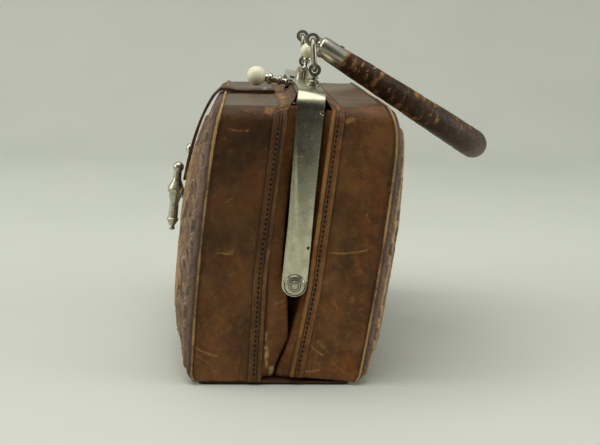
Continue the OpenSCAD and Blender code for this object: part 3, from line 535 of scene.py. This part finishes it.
def welt(side, half_name):
    """The roll along the rim of a half, uneven in thickness."""
    rows = arch_rows()
    turn = np.linspace(0, 2 * math.pi, WELT_SIDES, endpoint=False)
    middle = on_band(side, rows, np.array([TO_WELT + 1.0]), np.array([-0.25]))[:, 0]
    chipped = unit((middle[:, 2] - 118) / 12) * (np.abs(middle[:, 0]) > HALF - CORNER) * (side < 0)
    thick = 1.2 + 0.14 * wavy(middle, 9, 6 + side) + 0.5 * chipped * wavy(middle, 2.1, 7)
    points = np.zeros((len(rows), WELT_SIDES, 3))
    for r, (kind, end, value) in enumerate(rows):
        a = {"end": 0, "arc": math.radians(value), "top": math.pi / 2}[kind]
        away = np.array([end * math.cos(a) if kind != "top" else 0, 0, math.sin(a)])
        ring = np.cos(turn)[:, None] * away + np.sin(turn)[:, None] * (0, 1, 0)
        points[r] = middle[r] + thick[r] * ring
    crest = unit(np.cos(turn))[None] ** 3
    wear = 0.75 * crest + 0.45 * crest * wavy(middle, 21, 8)[:, None] + 0.45 * crest * chipped[:, None]
    shade = np.repeat(unit((np.abs(np.sin(turn)) - 0.62) / 0.3)[None], len(rows), 0)
    piece(f"{half_name}_welt_roll", points, tube(len(rows), WELT_SIDES), welt_leather, f"{half_name}_half",
          [f"{half_name}_welt"], "worn_edge_leather", wear=wear, shade=shade)


# Tooled panel: thick leather stamped with scrolls and leaves while damp and set over wadding, so it swells.
# The ground is matted with a punch and stays dark; the raised scrolls are burnished and rubbed tan.
SWELL, SWELL_Z = 11.4, 65.0
GRID_X, GRID_Z, BACK_STEP = 337, 235, 6


def tooled_leather(name):
    """Stamped leather: a matted dark ground, lighter raised parts, and tan where the crests are rubbed."""
    material, tree, principled, place = shader(name)
    height = mark(tree, "relief")
    stain = ramp(noisy(place, 42.0, 7.0, 0.62), 0.34, 0.68)
    fine = noisy(place, 520.0, 6.0, 0.72)
    ground = mixed(stain, (0.08, 0.04, 0.021), (0.155, 0.082, 0.042))
    raised = mixed(stain, (0.112, 0.058, 0.029), (0.19, 0.102, 0.05))
    colour = mixed(ramp(height, 0.1, 0.95), ground, raised)
    crest = sums("POWER", height, 1.8)
    bare = ramp(weighed((crest, 0.3), (mark(tree, "wear"), 0.75), (fine, 0.85)), 0.67, 1.03)
    colour = mixed(bare, colour, (0.38, 0.222, 0.078))
    shade = ramp(mark(tree, "shade"), 0.0, 1.0, 0.0, 0.9)
    wire(principled, {
        "Base Color": mixed(shade, colour, (0.012, 0.006, 0.004)),
        "Roughness": ramp(sums("ADD", height, fine), 0.3, 1.5, 0.55, 0.36),
        "Specular IOR Level": 0.42,
    })
    matting = put(tree, "ShaderNodeTexVoronoi", {"Vector": place, "Scale": 900.0}).outputs["Distance"]
    low = sums("MULTIPLY", matting, ramp(height, 0.35, 0.1))
    bumped(principled, [(low, 0.00035), (noisy(place, 1500.0, 3.0), 0.0001)])
    return material


def scrolls(x, z):
    """Raised height, 0 to 1, of the stamped scrolls and leaves at x and z in millimetres on the panel."""
    height = np.zeros(x.shape)
    xs, zs = x[0], z[:, 0]

    def stamp(cx, cz, radius, tall, cut):
        """A round dome raised to a height, or cut down to it."""
        i0, i1 = np.searchsorted(xs, (cx - radius, cx + radius))
        j0, j1 = np.searchsorted(zs, (cz - radius, cz + radius))
        if i1 <= i0 or j1 <= j0:
            return
        spot = height[j0:j1, i0:i1]
        away = ((x[j0:j1, i0:i1] - cx) ** 2 + (z[j0:j1, i0:i1] - cz) ** 2) / radius**2
        dome = unit(1 - away) ** 0.75
        spot[:] = np.minimum(spot, 1 - (1 - tall) * dome) if cut else np.maximum(spot, tall * dome)

    def stroke(line, radii, tall, cut=False):
        """Domes along a line and along its mirror image."""
        for (cx, cz), radius in zip(line, radii):
            for mirror in (-1, 1):
                stamp(mirror * cx, cz, radius, tall, cut)

    def leaf(cx, cz, heading, size, curl):
        """A curling leaf with a vein cut along it."""
        t = np.linspace(0, 1, 22)
        turn = heading + curl * t
        line = (cx, cz) + np.cumsum(np.stack([np.cos(turn), np.sin(turn)], 1), 0) * (size / len(t))
        stroke(line, 0.6 + 0.25 * size * np.sin(math.pi * t**0.7), 0.85)
        stroke(line[2:-3], np.full(len(t) - 5, 0.95), 0.42, True)

    vine_z = np.linspace(4, 152, 120)
    vine = np.stack([109.5 + 3.0 * np.sin(vine_z / 7.5), vine_z], 1)
    stroke(vine, np.full(len(vine), 1.5), 0.8)
    for k in range(3, len(vine) - 4, 5):
        way = 1 if k % 2 else -1
        leaf(*vine[k], 0.5 * math.pi + 0.75 * way, 10.0 + 1.5 * (k % 3), 0.8 * way)
    plan = [(60, 100, 27, 1, 2.1), (62, 46, 25, -1, -2.0), (22, 72, 15, -1, 0.4), (92, 74, 13, 1, 3.4),
            (27, 116, 13, 1, 1.0), (27, 30, 13, -1, 5.2), (92, 118, 11, -1, 0.3), (92, 30, 11, 1, 2.8)]
    for cx, cz, radius, way, start in plan:
        t = np.linspace(0, 1, 150)
        angle = start + way * t * 2.1 * 2 * math.pi
        r = radius * (1 - 0.86 * t**0.85)
        line = np.stack([cx + r * np.cos(angle), cz + r * np.sin(angle)], 1)
        stroke(line, (1.4 + 0.085 * radius) * (1 - 0.45 * t), 1.0)
        for petal in range(6):
            turn = petal * math.pi / 3
            stroke([(cx + 2.1 * math.cos(turn), cz + 2.1 * math.sin(turn))], [1.5], 0.9)
        stroke([(cx, cz)], [1.3], 1.0)
        for k in range(9):
            spot = 11 * k
            size = (0.34 + 0.05 * (k % 3)) * radius + 3.5
            leaf(*line[spot], angle[spot] + way * (0.62 + 0.2 * (k % 2)), size, way * 0.9)
            leaf(*line[spot + 5], angle[spot + 5] + math.pi + way * 0.5, 0.5 * size, way * 1.1)
        stroke(line, np.full(len(t), 0.8), 0.5, True)
    return height


def border(rows, columns):
    """Vertex numbers once around a grid."""
    walk = list(range(columns - 1)) + [r * columns + columns - 1 for r in range(rows - 1)]
    walk += [(rows - 1) * columns + k for k in range(columns - 1, 0, -1)]
    return walk + [r * columns for r in range(rows - 1, 0, -1)]


def blurred(values, reach):
    """A grid averaged over a square of 2 reach + 1 points."""
    for axis in (0, 1):
        values = sum(np.roll(values, k, axis) for k in range(-reach, reach + 1)) / (2 * reach + 1)
    return values


def panel(side, half_name):
    """A closed pillow: the stamped face, a coarser flesh side behind it, and a rim between them."""
    top, low = shoulder_z(side), low_z(side)
    zs = low + (top - low) * np.linspace(0, 1, GRID_Z)
    u = np.linspace(-1, 1, GRID_X)
    rise = np.maximum(0, zs - top + CORNER)
    length = HALF - CORNER + np.sqrt(np.maximum(0, CORNER**2 - rise**2))
    x = u[None] * length[:, None]
    z = np.repeat(zs[:, None], GRID_X, 1)
    level = np.where(z > SWELL_Z, (z - SWELL_Z) / (top - SWELL_Z), (SWELL_Z - z) / (SWELL_Z - low))
    swell = (1 - np.abs(x / HALF) ** 3.5) * (1 - level ** np.where(z > SWELL_Z, 2.5, 7.0))
    edge = np.minimum(np.minimum(HALF - np.abs(x), top - z), z - low)
    flat_x = np.repeat((u * HALF)[None], GRID_Z, 0)
    relief = scrolls(flat_x, z) * unit((edge - 0.8) / 2.4)
    flat = np.stack([x, 0 * x, z], -1)
    rough = 0.12 * wavy(flat, 1.9, 21 + side)
    tuck = unit(1 - edge / 2.2) ** 2
    sag = 0.8 * wavy(flat, 46, 12 + side) * unit(edge / 20)
    out = welt_y(z, side) + 3.1 + SWELL * swell + 2.2 * relief + rough - 2.2 * tuck + sag - 0.5
    face = np.stack([x, side * out, z], -1)
    back = np.stack([x, side * (welt_y(z, side) - 0.2 + SWELL * swell), z], -1)[::BACK_STEP, ::BACK_STEP]
    points = np.concatenate([face.reshape(-1, 3), back.reshape(-1, 3)])
    shown, plain = GRID_X * GRID_Z, np.zeros(back.shape[0] * back.shape[1])
    faces = loft(GRID_Z, GRID_X, False) + loft(*back.shape[:2], False, shown)
    rim, back_rim = border(GRID_Z, GRID_X), [shown + k for k in border(*back.shape[:2])]
    for k in range(len(back_rim)):
        fine = [rim[(BACK_STEP * k + j) % len(rim)] for j in range(BACK_STEP + 1)]
        faces.append((*fine, back_rim[(k + 1) % len(back_rim)], back_rim[k]))
    proud = (relief - blurred(relief, 8)) * unit((edge - 2) / 4)
    rubbed_end = unit(1 - (HALF - np.abs(x)) / 18) * (side > 0)
    wear = 0.35 * unit(wavy(face, 55, 31 + side)) + 0.32 * rubbed_end
    wear += (0.85 + 0.8 * rubbed_end) * unit(proud)
    shade = np.maximum(unit(0.9 - edge / 1.6), 1.8 * np.clip(-proud - 0.06, 0, 0.35))
    marks = {"relief": relief, "wear": wear, "shade": shade}
    marks = {label: np.concatenate([values.ravel(), plain]) for label, values in marks.items()}
    pillow = piece(f"{half_name}_pillow", points, faces, tooled, f"{half_name}_half", [f"{half_name}_panel"],
                   "tooled_leather", **marks)


tooled = tooled_leather("tooled_leather")

# Edge strips: a folded strip of the same leather sewn along the inner edge of each end, to stiffen it.
# It has a rolled lip at the mouth and two pressed grooves; hand stitches run along one of them.
STITCH_PITCH = 2.8
STRIP_ACROSS = np.array([0.0, -0.35, -0.2, 0.5, 1.2, 1.9, 2.3, 2.7, 3.4, 3.8, 4.1, 4.5, 5.2, 6.4, 7.0, 7.5,
                         7.7, 7.5, 0.4])
STRIP_TALL = np.array([-1.6, -0.5, 0.6, 1.25, 1.4, 1.2, 0.7, 0.95, 1.0, 0.75, 0.7, 0.95, 1.05, 1.0, 0.85,
                       0.45, -0.1, -0.4, -0.6])


def edge_strip(side, half_name):
    """Both strips of a half as one piece, and the places of their stitches."""
    across, mirror = STRIP_ACROSS, (-1, 1, 1)
    rows = arch_rows(ends_only=True, stop=48)
    count, columns = len(rows), len(across)
    points = on_band(side, rows, across, STRIP_TALL)
    points[..., 0] += 0.16 * wavy(points, 6, 15 + side)
    stacked = np.concatenate([points, points * mirror])
    faces = tube(count, columns)
    faces += [tuple(v + count * columns for v in f) for f in faces]
    wear = (0.22 if side > 0 else -0.02) + 0.4 * bell(across, 0.9, 1.1) + 0.15 * bell(across, 6.6, 0.9)
    wear = wear[None] + 0.35 * wavy(stacked, 22, 16 + side)
    groove = bell(across, 2.35, 0.35) + 0.8 * bell(across, 4.0, 0.4) + bell(across, 7.6, 0.3)
    shade = np.repeat(unit(groove)[None], 2 * count, 0)
    # Painted light: lighter towards the foot and on the back half, darker on the front.
    fade = unit(0.45 - 0.5 * stacked[..., 2] / shoulder_z(side)) + (0.3 if side > 0 else -0.2)
    piece(f"{half_name}_strip_folds", stacked, faces, band_leather, f"{half_name}_half",
          [f"{half_name}_edge_strips"], "band_leather", wear=wear, shade=shade, fade=fade)
    line = on_band(side, rows[:END_ROWS], np.array([4.05]), np.array([0.72]))[:, 0]
    length = np.concatenate([[0], np.cumsum(np.linalg.norm(np.diff(line, axis=0), axis=1))])
    stops = np.arange(3.0, length[-1] - 1, STITCH_PITCH)
    places = np.stack([np.interp(stops, length, line[:, k]) for k in range(3)], 1)
    return np.concatenate([places, places * mirror])


# Stitches: waxed thread in a slanting saddle stitch, sewn by hand through the strips and the band.
# One short stitch shows between two awl holes, which are beads of near-black painted shade.
thread, _, principled, place = shader("waxed_thread")
worn_thread = mixed(noisy(place, 700.0), (0.05, 0.024, 0.01), (0.14, 0.075, 0.03))
wire(principled, {"Base Color": worn_thread, "Roughness": 0.75})
# Awl holes: near-black painted shade standing in for the shadow inside each hole.
awl_hole_shade, _, principled, place = shader("awl_hole_shade")
hole_shade_colour = mixed(noisy(place, 900.0), (0.002, 0.0015, 0.001), (0.008, 0.005, 0.003))
wire(principled, {"Base Color": hole_shade_colour, "Roughness": 1.0})


def stitch_tree():
    """Geometry nodes: a thread bead on every point and a bead of painted shade for an awl hole half a pitch
    above; sizes are inputs.
    """
    group = bpy.data.node_groups.new("stitches", "GeometryNodeTree")
    face = group.interface
    face.new_socket("Geometry", in_out="OUTPUT", socket_type="NodeSocketGeometry")
    face.new_socket("Places", in_out="INPUT", socket_type="NodeSocketGeometry")
    sizes = {"Thread size": (0.00042, 0.00042, 0.00105), "Thread offset": (0, 0, 0),
             "Hole size": (0.0006, 0.00076, 0.00082), "Hole offset": (0, 0, STITCH_PITCH / 2000)}
    for label, value in sizes.items():
        face.new_socket(label, in_out="INPUT", socket_type="NodeSocketVector").default_value = value
    slant = face.new_socket("Slant", in_out="INPUT", socket_type="NodeSocketRotation")
    slant.default_value = (math.radians(8) - LEAN, 0, 0)
    start = group.nodes.new("NodeGroupInput").outputs
    joined = group.nodes.new("GeometryNodeJoinGeometry")
    for label, material in (("Thread", thread), ("Hole", awl_hole_shade)):
        ball = put(group, "GeometryNodeMeshUVSphere", {"Segments": 8, "Rings": 6, "Radius": 1.0})
        bead = put(group, "GeometryNodeSetShadeSmooth", {"Geometry": ball.outputs["Mesh"]})
        moved = put(group, "GeometryNodeSetPosition",
                    {"Geometry": start["Places"], "Offset": start[f"{label} offset"]})
        copies = put(group, "GeometryNodeInstanceOnPoints",
                     {"Points": moved.outputs[0], "Instance": bead.outputs[0],
                      "Scale": start[f"{label} size"], "Rotation": start["Slant"]})
        real = put(group, "GeometryNodeRealizeInstances", {0: copies.outputs[0]})
        dressed = put(group, "GeometryNodeSetMaterial", {"Geometry": real.outputs[0], "Material": material})
        group.links.new(dressed.outputs[0], joined.inputs[0])
    put(group, "NodeGroupOutput", {0: joined.outputs[0]})
    return group


def grown(name, places, group, body):
    """A repeat grown on points, turned into a plain mesh."""
    seed = bpy.data.meshes.new(name + "_places")
    seed.from_pydata(leaned(places).tolist(), [], [])
    source = placed(name + "_places", seed)
    modifier = source.modifiers.new("repeat", "NODES")
    modifier.node_group = group
    bpy.context.view_layer.update()
    solid = bpy.data.meshes.new_from_object(source.evaluated_get(bpy.context.evaluated_depsgraph_get()))
    bpy.data.objects.remove(source)
    made = placed(name, solid)
    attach(made, body)


stitching = stitch_tree()

# Both halves put together: band, welt, tooled panel, strips and stitches are glued and sewn to each other.
# Behind the panel lie wadding, a pasteboard and the lining, which are plain and stay as the CAD has them.
wadding = woven("wadding", (0.6, 0.56, 0.47), (0.5, 0.46, 0.38), 0.003)
for side, half_name in ((-1, "front"), (1, "back")):
    band(side, half_name)
    welt(side, half_name)
    panel(side, half_name)
    stitch_places = edge_strip(side, half_name)
    grown(f"{half_name}_stitches", stitch_places, stitching, f"{half_name}_half")
    fitted(f"{half_name}_wadding", wadding)
    fitted(f"{half_name}_board", card_board)
    fitted(f"{half_name}_lining", lining_cloth)

# Metal: all the fittings are nickel plate over brass, dulled by handling, with patches of grime.
# Dark pits show where the plate has gone; the handle's posts and pins are darker than the frame.


def nickel_plate(name, tone, rough, pits):
    """Plated metal: cloudy tarnish, grime and dark pits; pits is how strongly those show."""
    material, tree, principled, place = shader(name)
    cloud = ramp(noisy(place, 70.0, 6.0, 0.65), 0.36, 0.68)
    colour = mixed(cloud, [0.72 * c for c in tone], tone)
    spot = put(tree, "ShaderNodeTexVoronoi", {"Vector": place, "Scale": 110.0}).outputs["Distance"]
    sparse = ramp(noisy(place, 60.0, 3.0), 0.52, 0.6, 0.0, pits)
    pit = sums("MULTIPLY", ramp(spot, 0.13, 0.07), sparse)
    colour = mixed(pit, colour, (0.05, 0.04, 0.028))
    grime = ramp(noisy(place, 330.0, 5.0, 0.7), 0.56, 0.76)
    colour = mixed(sums("MULTIPLY", grime, 0.4), colour, (0.2, 0.17, 0.11))
    roughness = weighed((cloud, -0.12), (grime, 0.18), (rough, 1.0))
    wire(principled, {"Base Color": colour, "Metallic": 1.0, "Roughness": roughness})
    sunk = sums("MULTIPLY", pit, -1.0)
    bumped(principled, [(sunk, 0.0004), (noisy(place, 900.0, 3.0), 0.00002)])
    return material


nickel = nickel_plate("nickel", (0.65, 0.615, 0.455), 0.26, 1.0)
bright_nickel = nickel_plate("bright_nickel", (0.66, 0.63, 0.54), 0.3, 0.4)

# Frame: the outer strip is folded over the inner one; both are bent to a U and turn on rivets at the ends.
# Leather flaps riveted to their flanges join the halves; rings are turned into the rivet heads, where dark
# rings of dirt and painted shade are drawn.
flap_leather = leather("flap_leather", (0.11, 0.05, 0.018), (0.05, 0.023, 0.009), (0.38, 0.21, 0.08), 0.55)
fitted("outer_frame", nickel, 0.0011)
fitted("inner_frame", nickel, 0.0004)
rivet_nickel = nickel_plate("rivet_nickel", (0.56, 0.53, 0.4), 0.34, 0.5)
tree = rivet_nickel.node_tree
rivet_colour = tree.nodes["Principled BSDF"].inputs["Base Color"]
place = tree.nodes.new("ShaderNodeTexCoord").outputs["Object"]
flat_place = put(tree, "ShaderNodeVectorMath", {0: place, 1: (0, 1, 1)}, operation="MULTIPLY").outputs[0]
centre = (0, *leaned([[0, *RIVET]])[0][1:])
radius = put(tree, "ShaderNodeVectorMath", {0: flat_place, 1: centre}, operation="DISTANCE").outputs["Value"]
# Dark rings of dirt and painted shade at given radii about the rivet centre.
ring_dirt_and_shade = 0.0
for ring_at in (0.0021, 0.0033, 0.0058):
    away = sums("ABSOLUTE", sums("SUBTRACT", radius, ring_at), 0.0)
    ring_dirt_and_shade = sums("MAXIMUM", ramp(away, 0.00045, 0.0001, 0.0, 0.85), ring_dirt_and_shade)
dirt_and_shade_rings = mixed(ring_dirt_and_shade, rivet_colour.links[0].from_socket, (0.03, 0.026, 0.018))
tree.links.new(dirt_and_shade_rings, rivet_colour)
fitted("pivot_rivets", rivet_nickel, 0.0002)
LIP_ROWS, LIP_RUN, LIP_THICK = 150, 16, 1.2
LIP_KEPT = {-1: [0.62, 0.62, 1, 1, 0.6, 0.5], 1: [1, 1, 1, 1, 0.6, 0.5]}
for side, flap_name, frame_y in ((-1, "outer_flap", 8.1), (1, "inner_flap", 8.2)):
    # The flap lies on the top beside the mouth and turns up to the frame, but less behind the clasp plate.
    xs = np.linspace(-114, 114, LIP_ROWS)
    t = np.linspace(0, 1, LIP_RUN)
    y = np.interp(t, [0, 0.35, 0.6, 0.8, 1], [17.5, 13.5, 10.8, 9.0, frame_y])
    rise = np.interp(t, [0, 0.35, 0.6, 0.8, 1], [0.2, 0.7, 1.6, 3.4, 6.2])
    spread = 0.5 * wavy(np.stack([xs, 0 * xs, 0 * xs], -1), 16, 40 + side)
    face = np.zeros((LIP_ROWS, LIP_RUN, 3))
    for i, x in enumerate(xs):
        kept = t * np.interp(abs(x), [0, 18.5, 21, 103, 110, 114], LIP_KEPT[side])
        line_y = np.interp(kept, t, y) + spread[i] * unit(1 - t / 0.4)
        corner = CORNER - math.sqrt(CORNER**2 - max(0, abs(x) - HALF + CORNER) ** 2)
        line_rise = np.interp(kept, t, rise) - corner
        face[i] = np.stack([np.full(LIP_RUN, x), side * line_y, top_z(side * line_y) + line_rise], -1)
    under = face - (0, 0, LIP_THICK)
    points = np.concatenate([face, under[:, ::-1]], 1)
    across = np.concatenate([t, t[::-1]])
    wear = 0.1 + 0.35 * bell(across, 0.3, 0.2)[None] + 0.35 * wavy(points, 20, 41)
    lip = piece(f"{flap_name}_lip", points, tube(LIP_ROWS, 2 * LIP_RUN), flap_leather,
                None if side < 0 else "back_jaw", [flap_name], "gusset_leather", wear=wear)
    if side < 0:
        held, free = leaned([[0, -15, 157], [0, -8.5, 163]])
        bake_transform(lip)
    fitted(f"{flap_name}_rivets", bright_nickel, 0.0002)

# Ball clasp: a plate on the outer frame carries a turned lever on a pin, with an ivory ball at its end.
# The smaller ball stands on a post on the inner frame, and the lever is pressed past it to close the bag.
ivory, tree, principled, place = shader("ivory")
age = ramp(noisy(place, 160.0, 6.0, 0.6), 0.35, 0.7)
ivory_tone = mixed(age, (0.9, 0.87, 0.6), (0.97, 0.95, 0.74))
rings = put(tree, "ShaderNodeTexWave", {"Vector": place, "Scale": 260.0, "Distortion": 5.0, "Detail": 3.0})
streaks = ramp(rings.outputs["Fac"], 0.72, 1.0, 0.0, 0.25)
ivory_tone = mixed(streaks, ivory_tone, (0.5, 0.41, 0.2))
wire(principled, {"Base Color": ivory_tone, "Roughness": 0.28})
wire(principled, {"Subsurface Weight": 0.15, "Subsurface Radius": (0.003, 0.002, 0.001)})
plate_nickel = nickel_plate("plate_nickel", (0.46, 0.43, 0.33), 0.36, 0.8)
fitted("clasp_plate", plate_nickel, 0.0004)
for node in ("clasp_pin", "clasp_lever", "catch_post"):
    fitted(node, bright_nickel, 0.0002)


def ball(name, body):
    """A smooth turned ball in the place of its CAD node."""
    low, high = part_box(name)
    work = bmesh.new()
    bmesh.ops.create_uvsphere(work, u_segments=48, v_segments=32, radius=max(high - low) / 2)
    mesh = bpy.data.meshes.new(name + "_ball")
    work.to_mesh(mesh)
    work.free()
    mesh.transform(Matrix.Translation((low + high) / 2))
    mesh.materials.append(ivory)
    mesh.shade_smooth()
    made = placed(name + "_ball", mesh)
    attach(made, body)
    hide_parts(name)


ball("lever_ball", "lever")
ball("catch_ball", "back_jaw")

# Handle: turned posts on the frame carry wire links, and nickel ferrules hang on those by their eyes.
# The ferrules are pinned to a core, over which a grip of rolled leather is glued; it swells to its middle.
# Its dark finish is cracked and rubbed through to tan in flecks that run around it.
dark_pin = nickel_plate("dark_pin", (0.12, 0.1, 0.08), 0.5, 0.2)
aged_nickel = nickel_plate("aged_nickel", (0.4, 0.37, 0.28), 0.4, 0.6)
ferrule_nickel = nickel_plate("ferrule_nickel", (0.6, 0.57, 0.46), 0.42, 0.5)
fitted("handle_posts", aged_nickel, 0.0002)
for end_name in ("right", "left"):
    fitted(f"handle_link_{end_name}", aged_nickel)
    fitted(f"ferrule_{end_name}", ferrule_nickel, 0.0003)
fitted("ferrule_pins", dark_pin, 0.0002)
fitted("handle_core", card_board)
GRIP_TONES = (0.052, 0.026, 0.0105), (0.022, 0.0115, 0.005), (0.34, 0.175, 0.052)
grip_leather = leather("grip_leather", *GRIP_TONES, 0.5, 0.26, 0.0003, 2.6)
SWING, REACH, FERRULE, POST = (-0.489, 194.167), 127.0, 21.0, 62.0
GRIP_ROWS, GRIP_SIDES = 330, 40
leg = REACH - FERRULE - POST
grip_length = 2 * leg + math.pi * POST


def grip_radius(s):
    """Radius of the grip at a distance along it."""
    return (12.2 + 5.8 * math.sin(math.pi * s / grip_length)) / 2


# The handle leans back until its legs rest on the shoulder of the back half.
rest_y = SHOULDER[1][0] + 1.6
rest_z = top_z(rest_y) + 1.3 / math.cos(LEAN)
rest = math.hypot(rest_y - SWING[0], SWING[1] - rest_z)
clear = grip_radius(rest - FERRULE) + 0.3
drop = math.atan2(SWING[1] - rest_z, rest_y - SWING[0]) - math.asin(clear / rest)
stops = np.linspace(0, grip_length, GRIP_ROWS)
around = np.linspace(0, 2 * math.pi, GRIP_SIDES, endpoint=False)
points = np.zeros((GRIP_ROWS, GRIP_SIDES, 3))
for i, s in enumerate(stops):
    a = min(math.pi, max(0, (s - leg) / POST))
    out = s if s < leg else grip_length - s if s > grip_length - leg else leg
    bow = POST * math.sin(a) if 0 < a < math.pi else 0
    middle = np.array([POST * math.cos(a), FERRULE + out + bow, 0])
    side_way = np.array([math.cos(a), math.sin(a), 0])
    ring = np.cos(around)[:, None] * side_way + np.sin(around)[:, None] * (0, 0, 1)
    points[i] = middle + grip_radius(s) * ring
lumps = 0.35 * wavy(points, 14, 50) + 0.15 * wavy(points, 4, 51)
unrolled = np.broadcast_arrays(stops[:, None], 5 * np.cos(around)[None], 5 * np.sin(around)[None])
unrolled = np.stack(unrolled, -1)
cracks = unit((wavy(unrolled * (1, 0.42, 0.42), 1.9, 52) + 0.5 * wavy(unrolled, 0.8, 56) - 0.2) / 0.45)
cracks = cracks * unit(1.6 * wavy(unrolled, 15, 53) + 0.5)
cracks = cracks * (1 - 0.6 * np.sin(math.pi * stops / grip_length)[:, None] ** 8)
outward = points - points.mean(1, keepdims=True)
outward = outward / np.linalg.norm(outward, axis=-1, keepdims=True)
points = points + outward * (lumps - 0.35 * cracks)[..., None]
turned_y = points[..., 1] * math.cos(drop) + points[..., 2] * math.sin(drop) + SWING[0]
turned_z = points[..., 2] * math.cos(drop) - points[..., 1] * math.sin(drop) + SWING[1]
points = np.stack([points[..., 0], turned_y, turned_z], -1)
rubs = unit(0.17 + 0.45 * wavy(unrolled, 14, 54) + 0.5 * wavy(unrolled * (1, 0.5, 0.5), 3, 55))
rubs += 0.36 * bell(np.minimum(stops, grip_length - stops), 0, 1.8)[:, None]
piece("grip", points, tube(GRIP_ROWS, GRIP_SIDES), grip_leather, "handle", ["handle_grip"], "handle_leather",
      wear=rubs, scuff=1.2 * cracks)

# Strap and toggle: a thin leather strap, riveted to the top at its root, comes over the front shoulder.
# It carries a stud, and a toggle turned from nickel hangs on a rosette below its end.
strap_leather = leather("strap_leather", (0.09, 0.044, 0.02), (0.045, 0.021, 0.01), (0.36, 0.21, 0.09), 0.5)
fitted("front_strap", strap_leather, 0.0004)
for node in ("strap_rivets", "strap_stud"):
    fitted(node, bright_nickel, 0.0002)
TOGGLE_Z, TOGGLE_SEAT, TOGGLE_OUT = 82.5, 65.88, 6.75
LATHE_ROWS, LATHE_SIDES = 240, 40
old_nickel = nickel_plate("old_nickel", (0.6, 0.575, 0.44), 0.34, 0.4)


def turned(name, heights, radii, along, body, node):
    """A lathe-turned piece: radii at heights along an axis that stands up or points out of the panel."""
    steps = np.linspace(heights[0], heights[-1], LATHE_ROWS)
    rings = eased(np.interp(steps, heights, radii), 2)[:, None]
    angle = np.linspace(0, 2 * math.pi, LATHE_SIDES, endpoint=False)[None]
    one, two = rings * np.cos(angle), rings * np.sin(angle)
    rise = np.repeat(steps[:, None], LATHE_SIDES, 1)
    if along == "up":
        points = np.stack([one, two - TOGGLE_SEAT - TOGGLE_OUT, rise + TOGGLE_Z], -1)
    else:
        points = np.stack([one, -TOGGLE_SEAT - rise, two + TOGGLE_Z], -1)
    piece(name, points, tube(LATHE_ROWS, LATHE_SIDES), old_nickel, body, [node], "nickel")


# Heights and radii: a button, a cup, a bell and a round head.
lift_up = np.linspace(-48, 88, 18)
head_z = 18.5 + 3.5 * np.sin(np.radians(lift_up))
head_r = 3.5 * np.cos(np.radians(lift_up))
spindle = [(-23.5, 0.3), (-23.2, 1.4), (-22.6, 2.0), (-21.7, 2.1), (-20.9, 1.6), (-20.4, 1.6), (-18.6, 2.7),
           (-17.0, 3.5), (-16.6, 3.75), (-15.7, 3.75), (-15.2, 3.1), (-4.3, 2.85), (-3.9, 3.1), (-1.0, 3.95),
           (1.4, 4.1), (1.7, 4.95), (4.1, 5.4), (4.7, 5.3), (9.4, 3.1), (11.0, 2.6), (15.2, 2.5)]
spindle += zip(head_z, head_r)
rosette = [(-2.2, 7.8), (0.5, 7.3), (1.2, 6.2), (1.5, 3.4), (1.7, 1.9), (2.5, 1.4)]
turned("toggle_spindle", *zip(*spindle), "up", "toggle", "toggle")
turned("toggle_rosette", *zip(*rosette), "out", "front_half", "toggle_base")

# Studio: a pale grey-green table that runs up into a plain backdrop, as one bent sheet.
# Soft light comes from above, from a window at the left and from a fill at the right.
# The camera looks at the near end, a little from above, as in the photograph.
profile = [(0.95, 0.0), (-0.9, 0.0)]
profile += [(-0.9 - 0.6 * math.sin(a), 0.6 - 0.6 * math.cos(a)) for a in np.linspace(0.1, math.pi / 2, 14)]
profile += [(-1.5, 2.6)]
sweep = bpy.data.meshes.new("table")
corners = [(x, y, z) for x, z in profile for y in (-3.0, 3.0)]
sweep.from_pydata(corners, [], [(2 * i, 2 * i + 1, 2 * i + 3, 2 * i + 2) for i in range(len(profile) - 1)])
sweep.shade_smooth()
table_top = placed("table", sweep)
paper, _, principled, place = shader("table_paper")
patches = ramp(noisy(place, 3.0, 3.0), 0.3, 0.7)
paper_tone = mixed(patches, (0.60, 0.625, 0.565), (0.63, 0.655, 0.59))
wire(principled, {"Base Color": paper_tone, "Roughness": 0.9, "Specular IOR Level": 0.1})
sweep.materials.append(paper)

world = bpy.data.worlds.new("studio")
bpy.context.scene.world = world
world.use_nodes = True
room = world.node_tree
around_room = room.nodes.new("ShaderNodeTexCoord").outputs["Generated"]
toward = put(room, "ShaderNodeSeparateXYZ", {0: around_room}).outputs["X"]
glow = ramp(toward, 0.35, 0.8, 0.5, 0.04)
wire(room.nodes["Background"], {"Color": (0.93, 0.96, 0.9, 1), "Strength": glow})


def softbox(name, place, size, power):
    """A warm white rectangle of light aimed at the bag."""
    light = bpy.data.lights.new(name, "AREA")
    light.shape = "RECTANGLE"
    light.size, light.size_y = size
    light.energy = power
    light.color = (1, 0.98, 0.94)
    made = placed(name, light)
    made.location = place
    made.rotation_euler = (Vector((0, 0, 0.1)) - Vector(place)).to_track_quat("-Z", "Y").to_euler()


softbox("overhead", (0.12, -0.2, 1.5), (1.5, 1.5), 15)
softbox("left_window", (0.1, -1.5, 0.7), (1.2, 1.0), 9.5)
softbox("right_fill", (0.3, 1.5, 0.45), (1.2, 0.7), 9)

yaw, pitch, roll = (math.radians(a) for a in (2.83, 10.52, 1.05))
ahead = Vector((-math.cos(pitch) * math.cos(yaw), math.cos(pitch) * math.sin(yaw), -math.sin(pitch)))
across = ahead.cross(Vector((0, 0, 1))).normalized()
upward = across.cross(ahead)
camera_x = math.cos(roll) * across + math.sin(roll) * upward
camera_y = math.cos(roll) * upward - math.sin(roll) * across
lens = bpy.data.cameras.new("camera")
lens.sensor_width = 36.0
lens.lens = 67.13
lens.clip_start = 0.01
camera = placed("camera", lens)
axes = Matrix((camera_x, camera_y, -ahead)).transposed().to_4x4()
camera.matrix_world = Matrix.Translation((0.7255, -0.0168, 0.2074)) @ axes
bpy.context.scene.camera = camera
bpy.context.scene.view_settings.view_transform = "Standard"
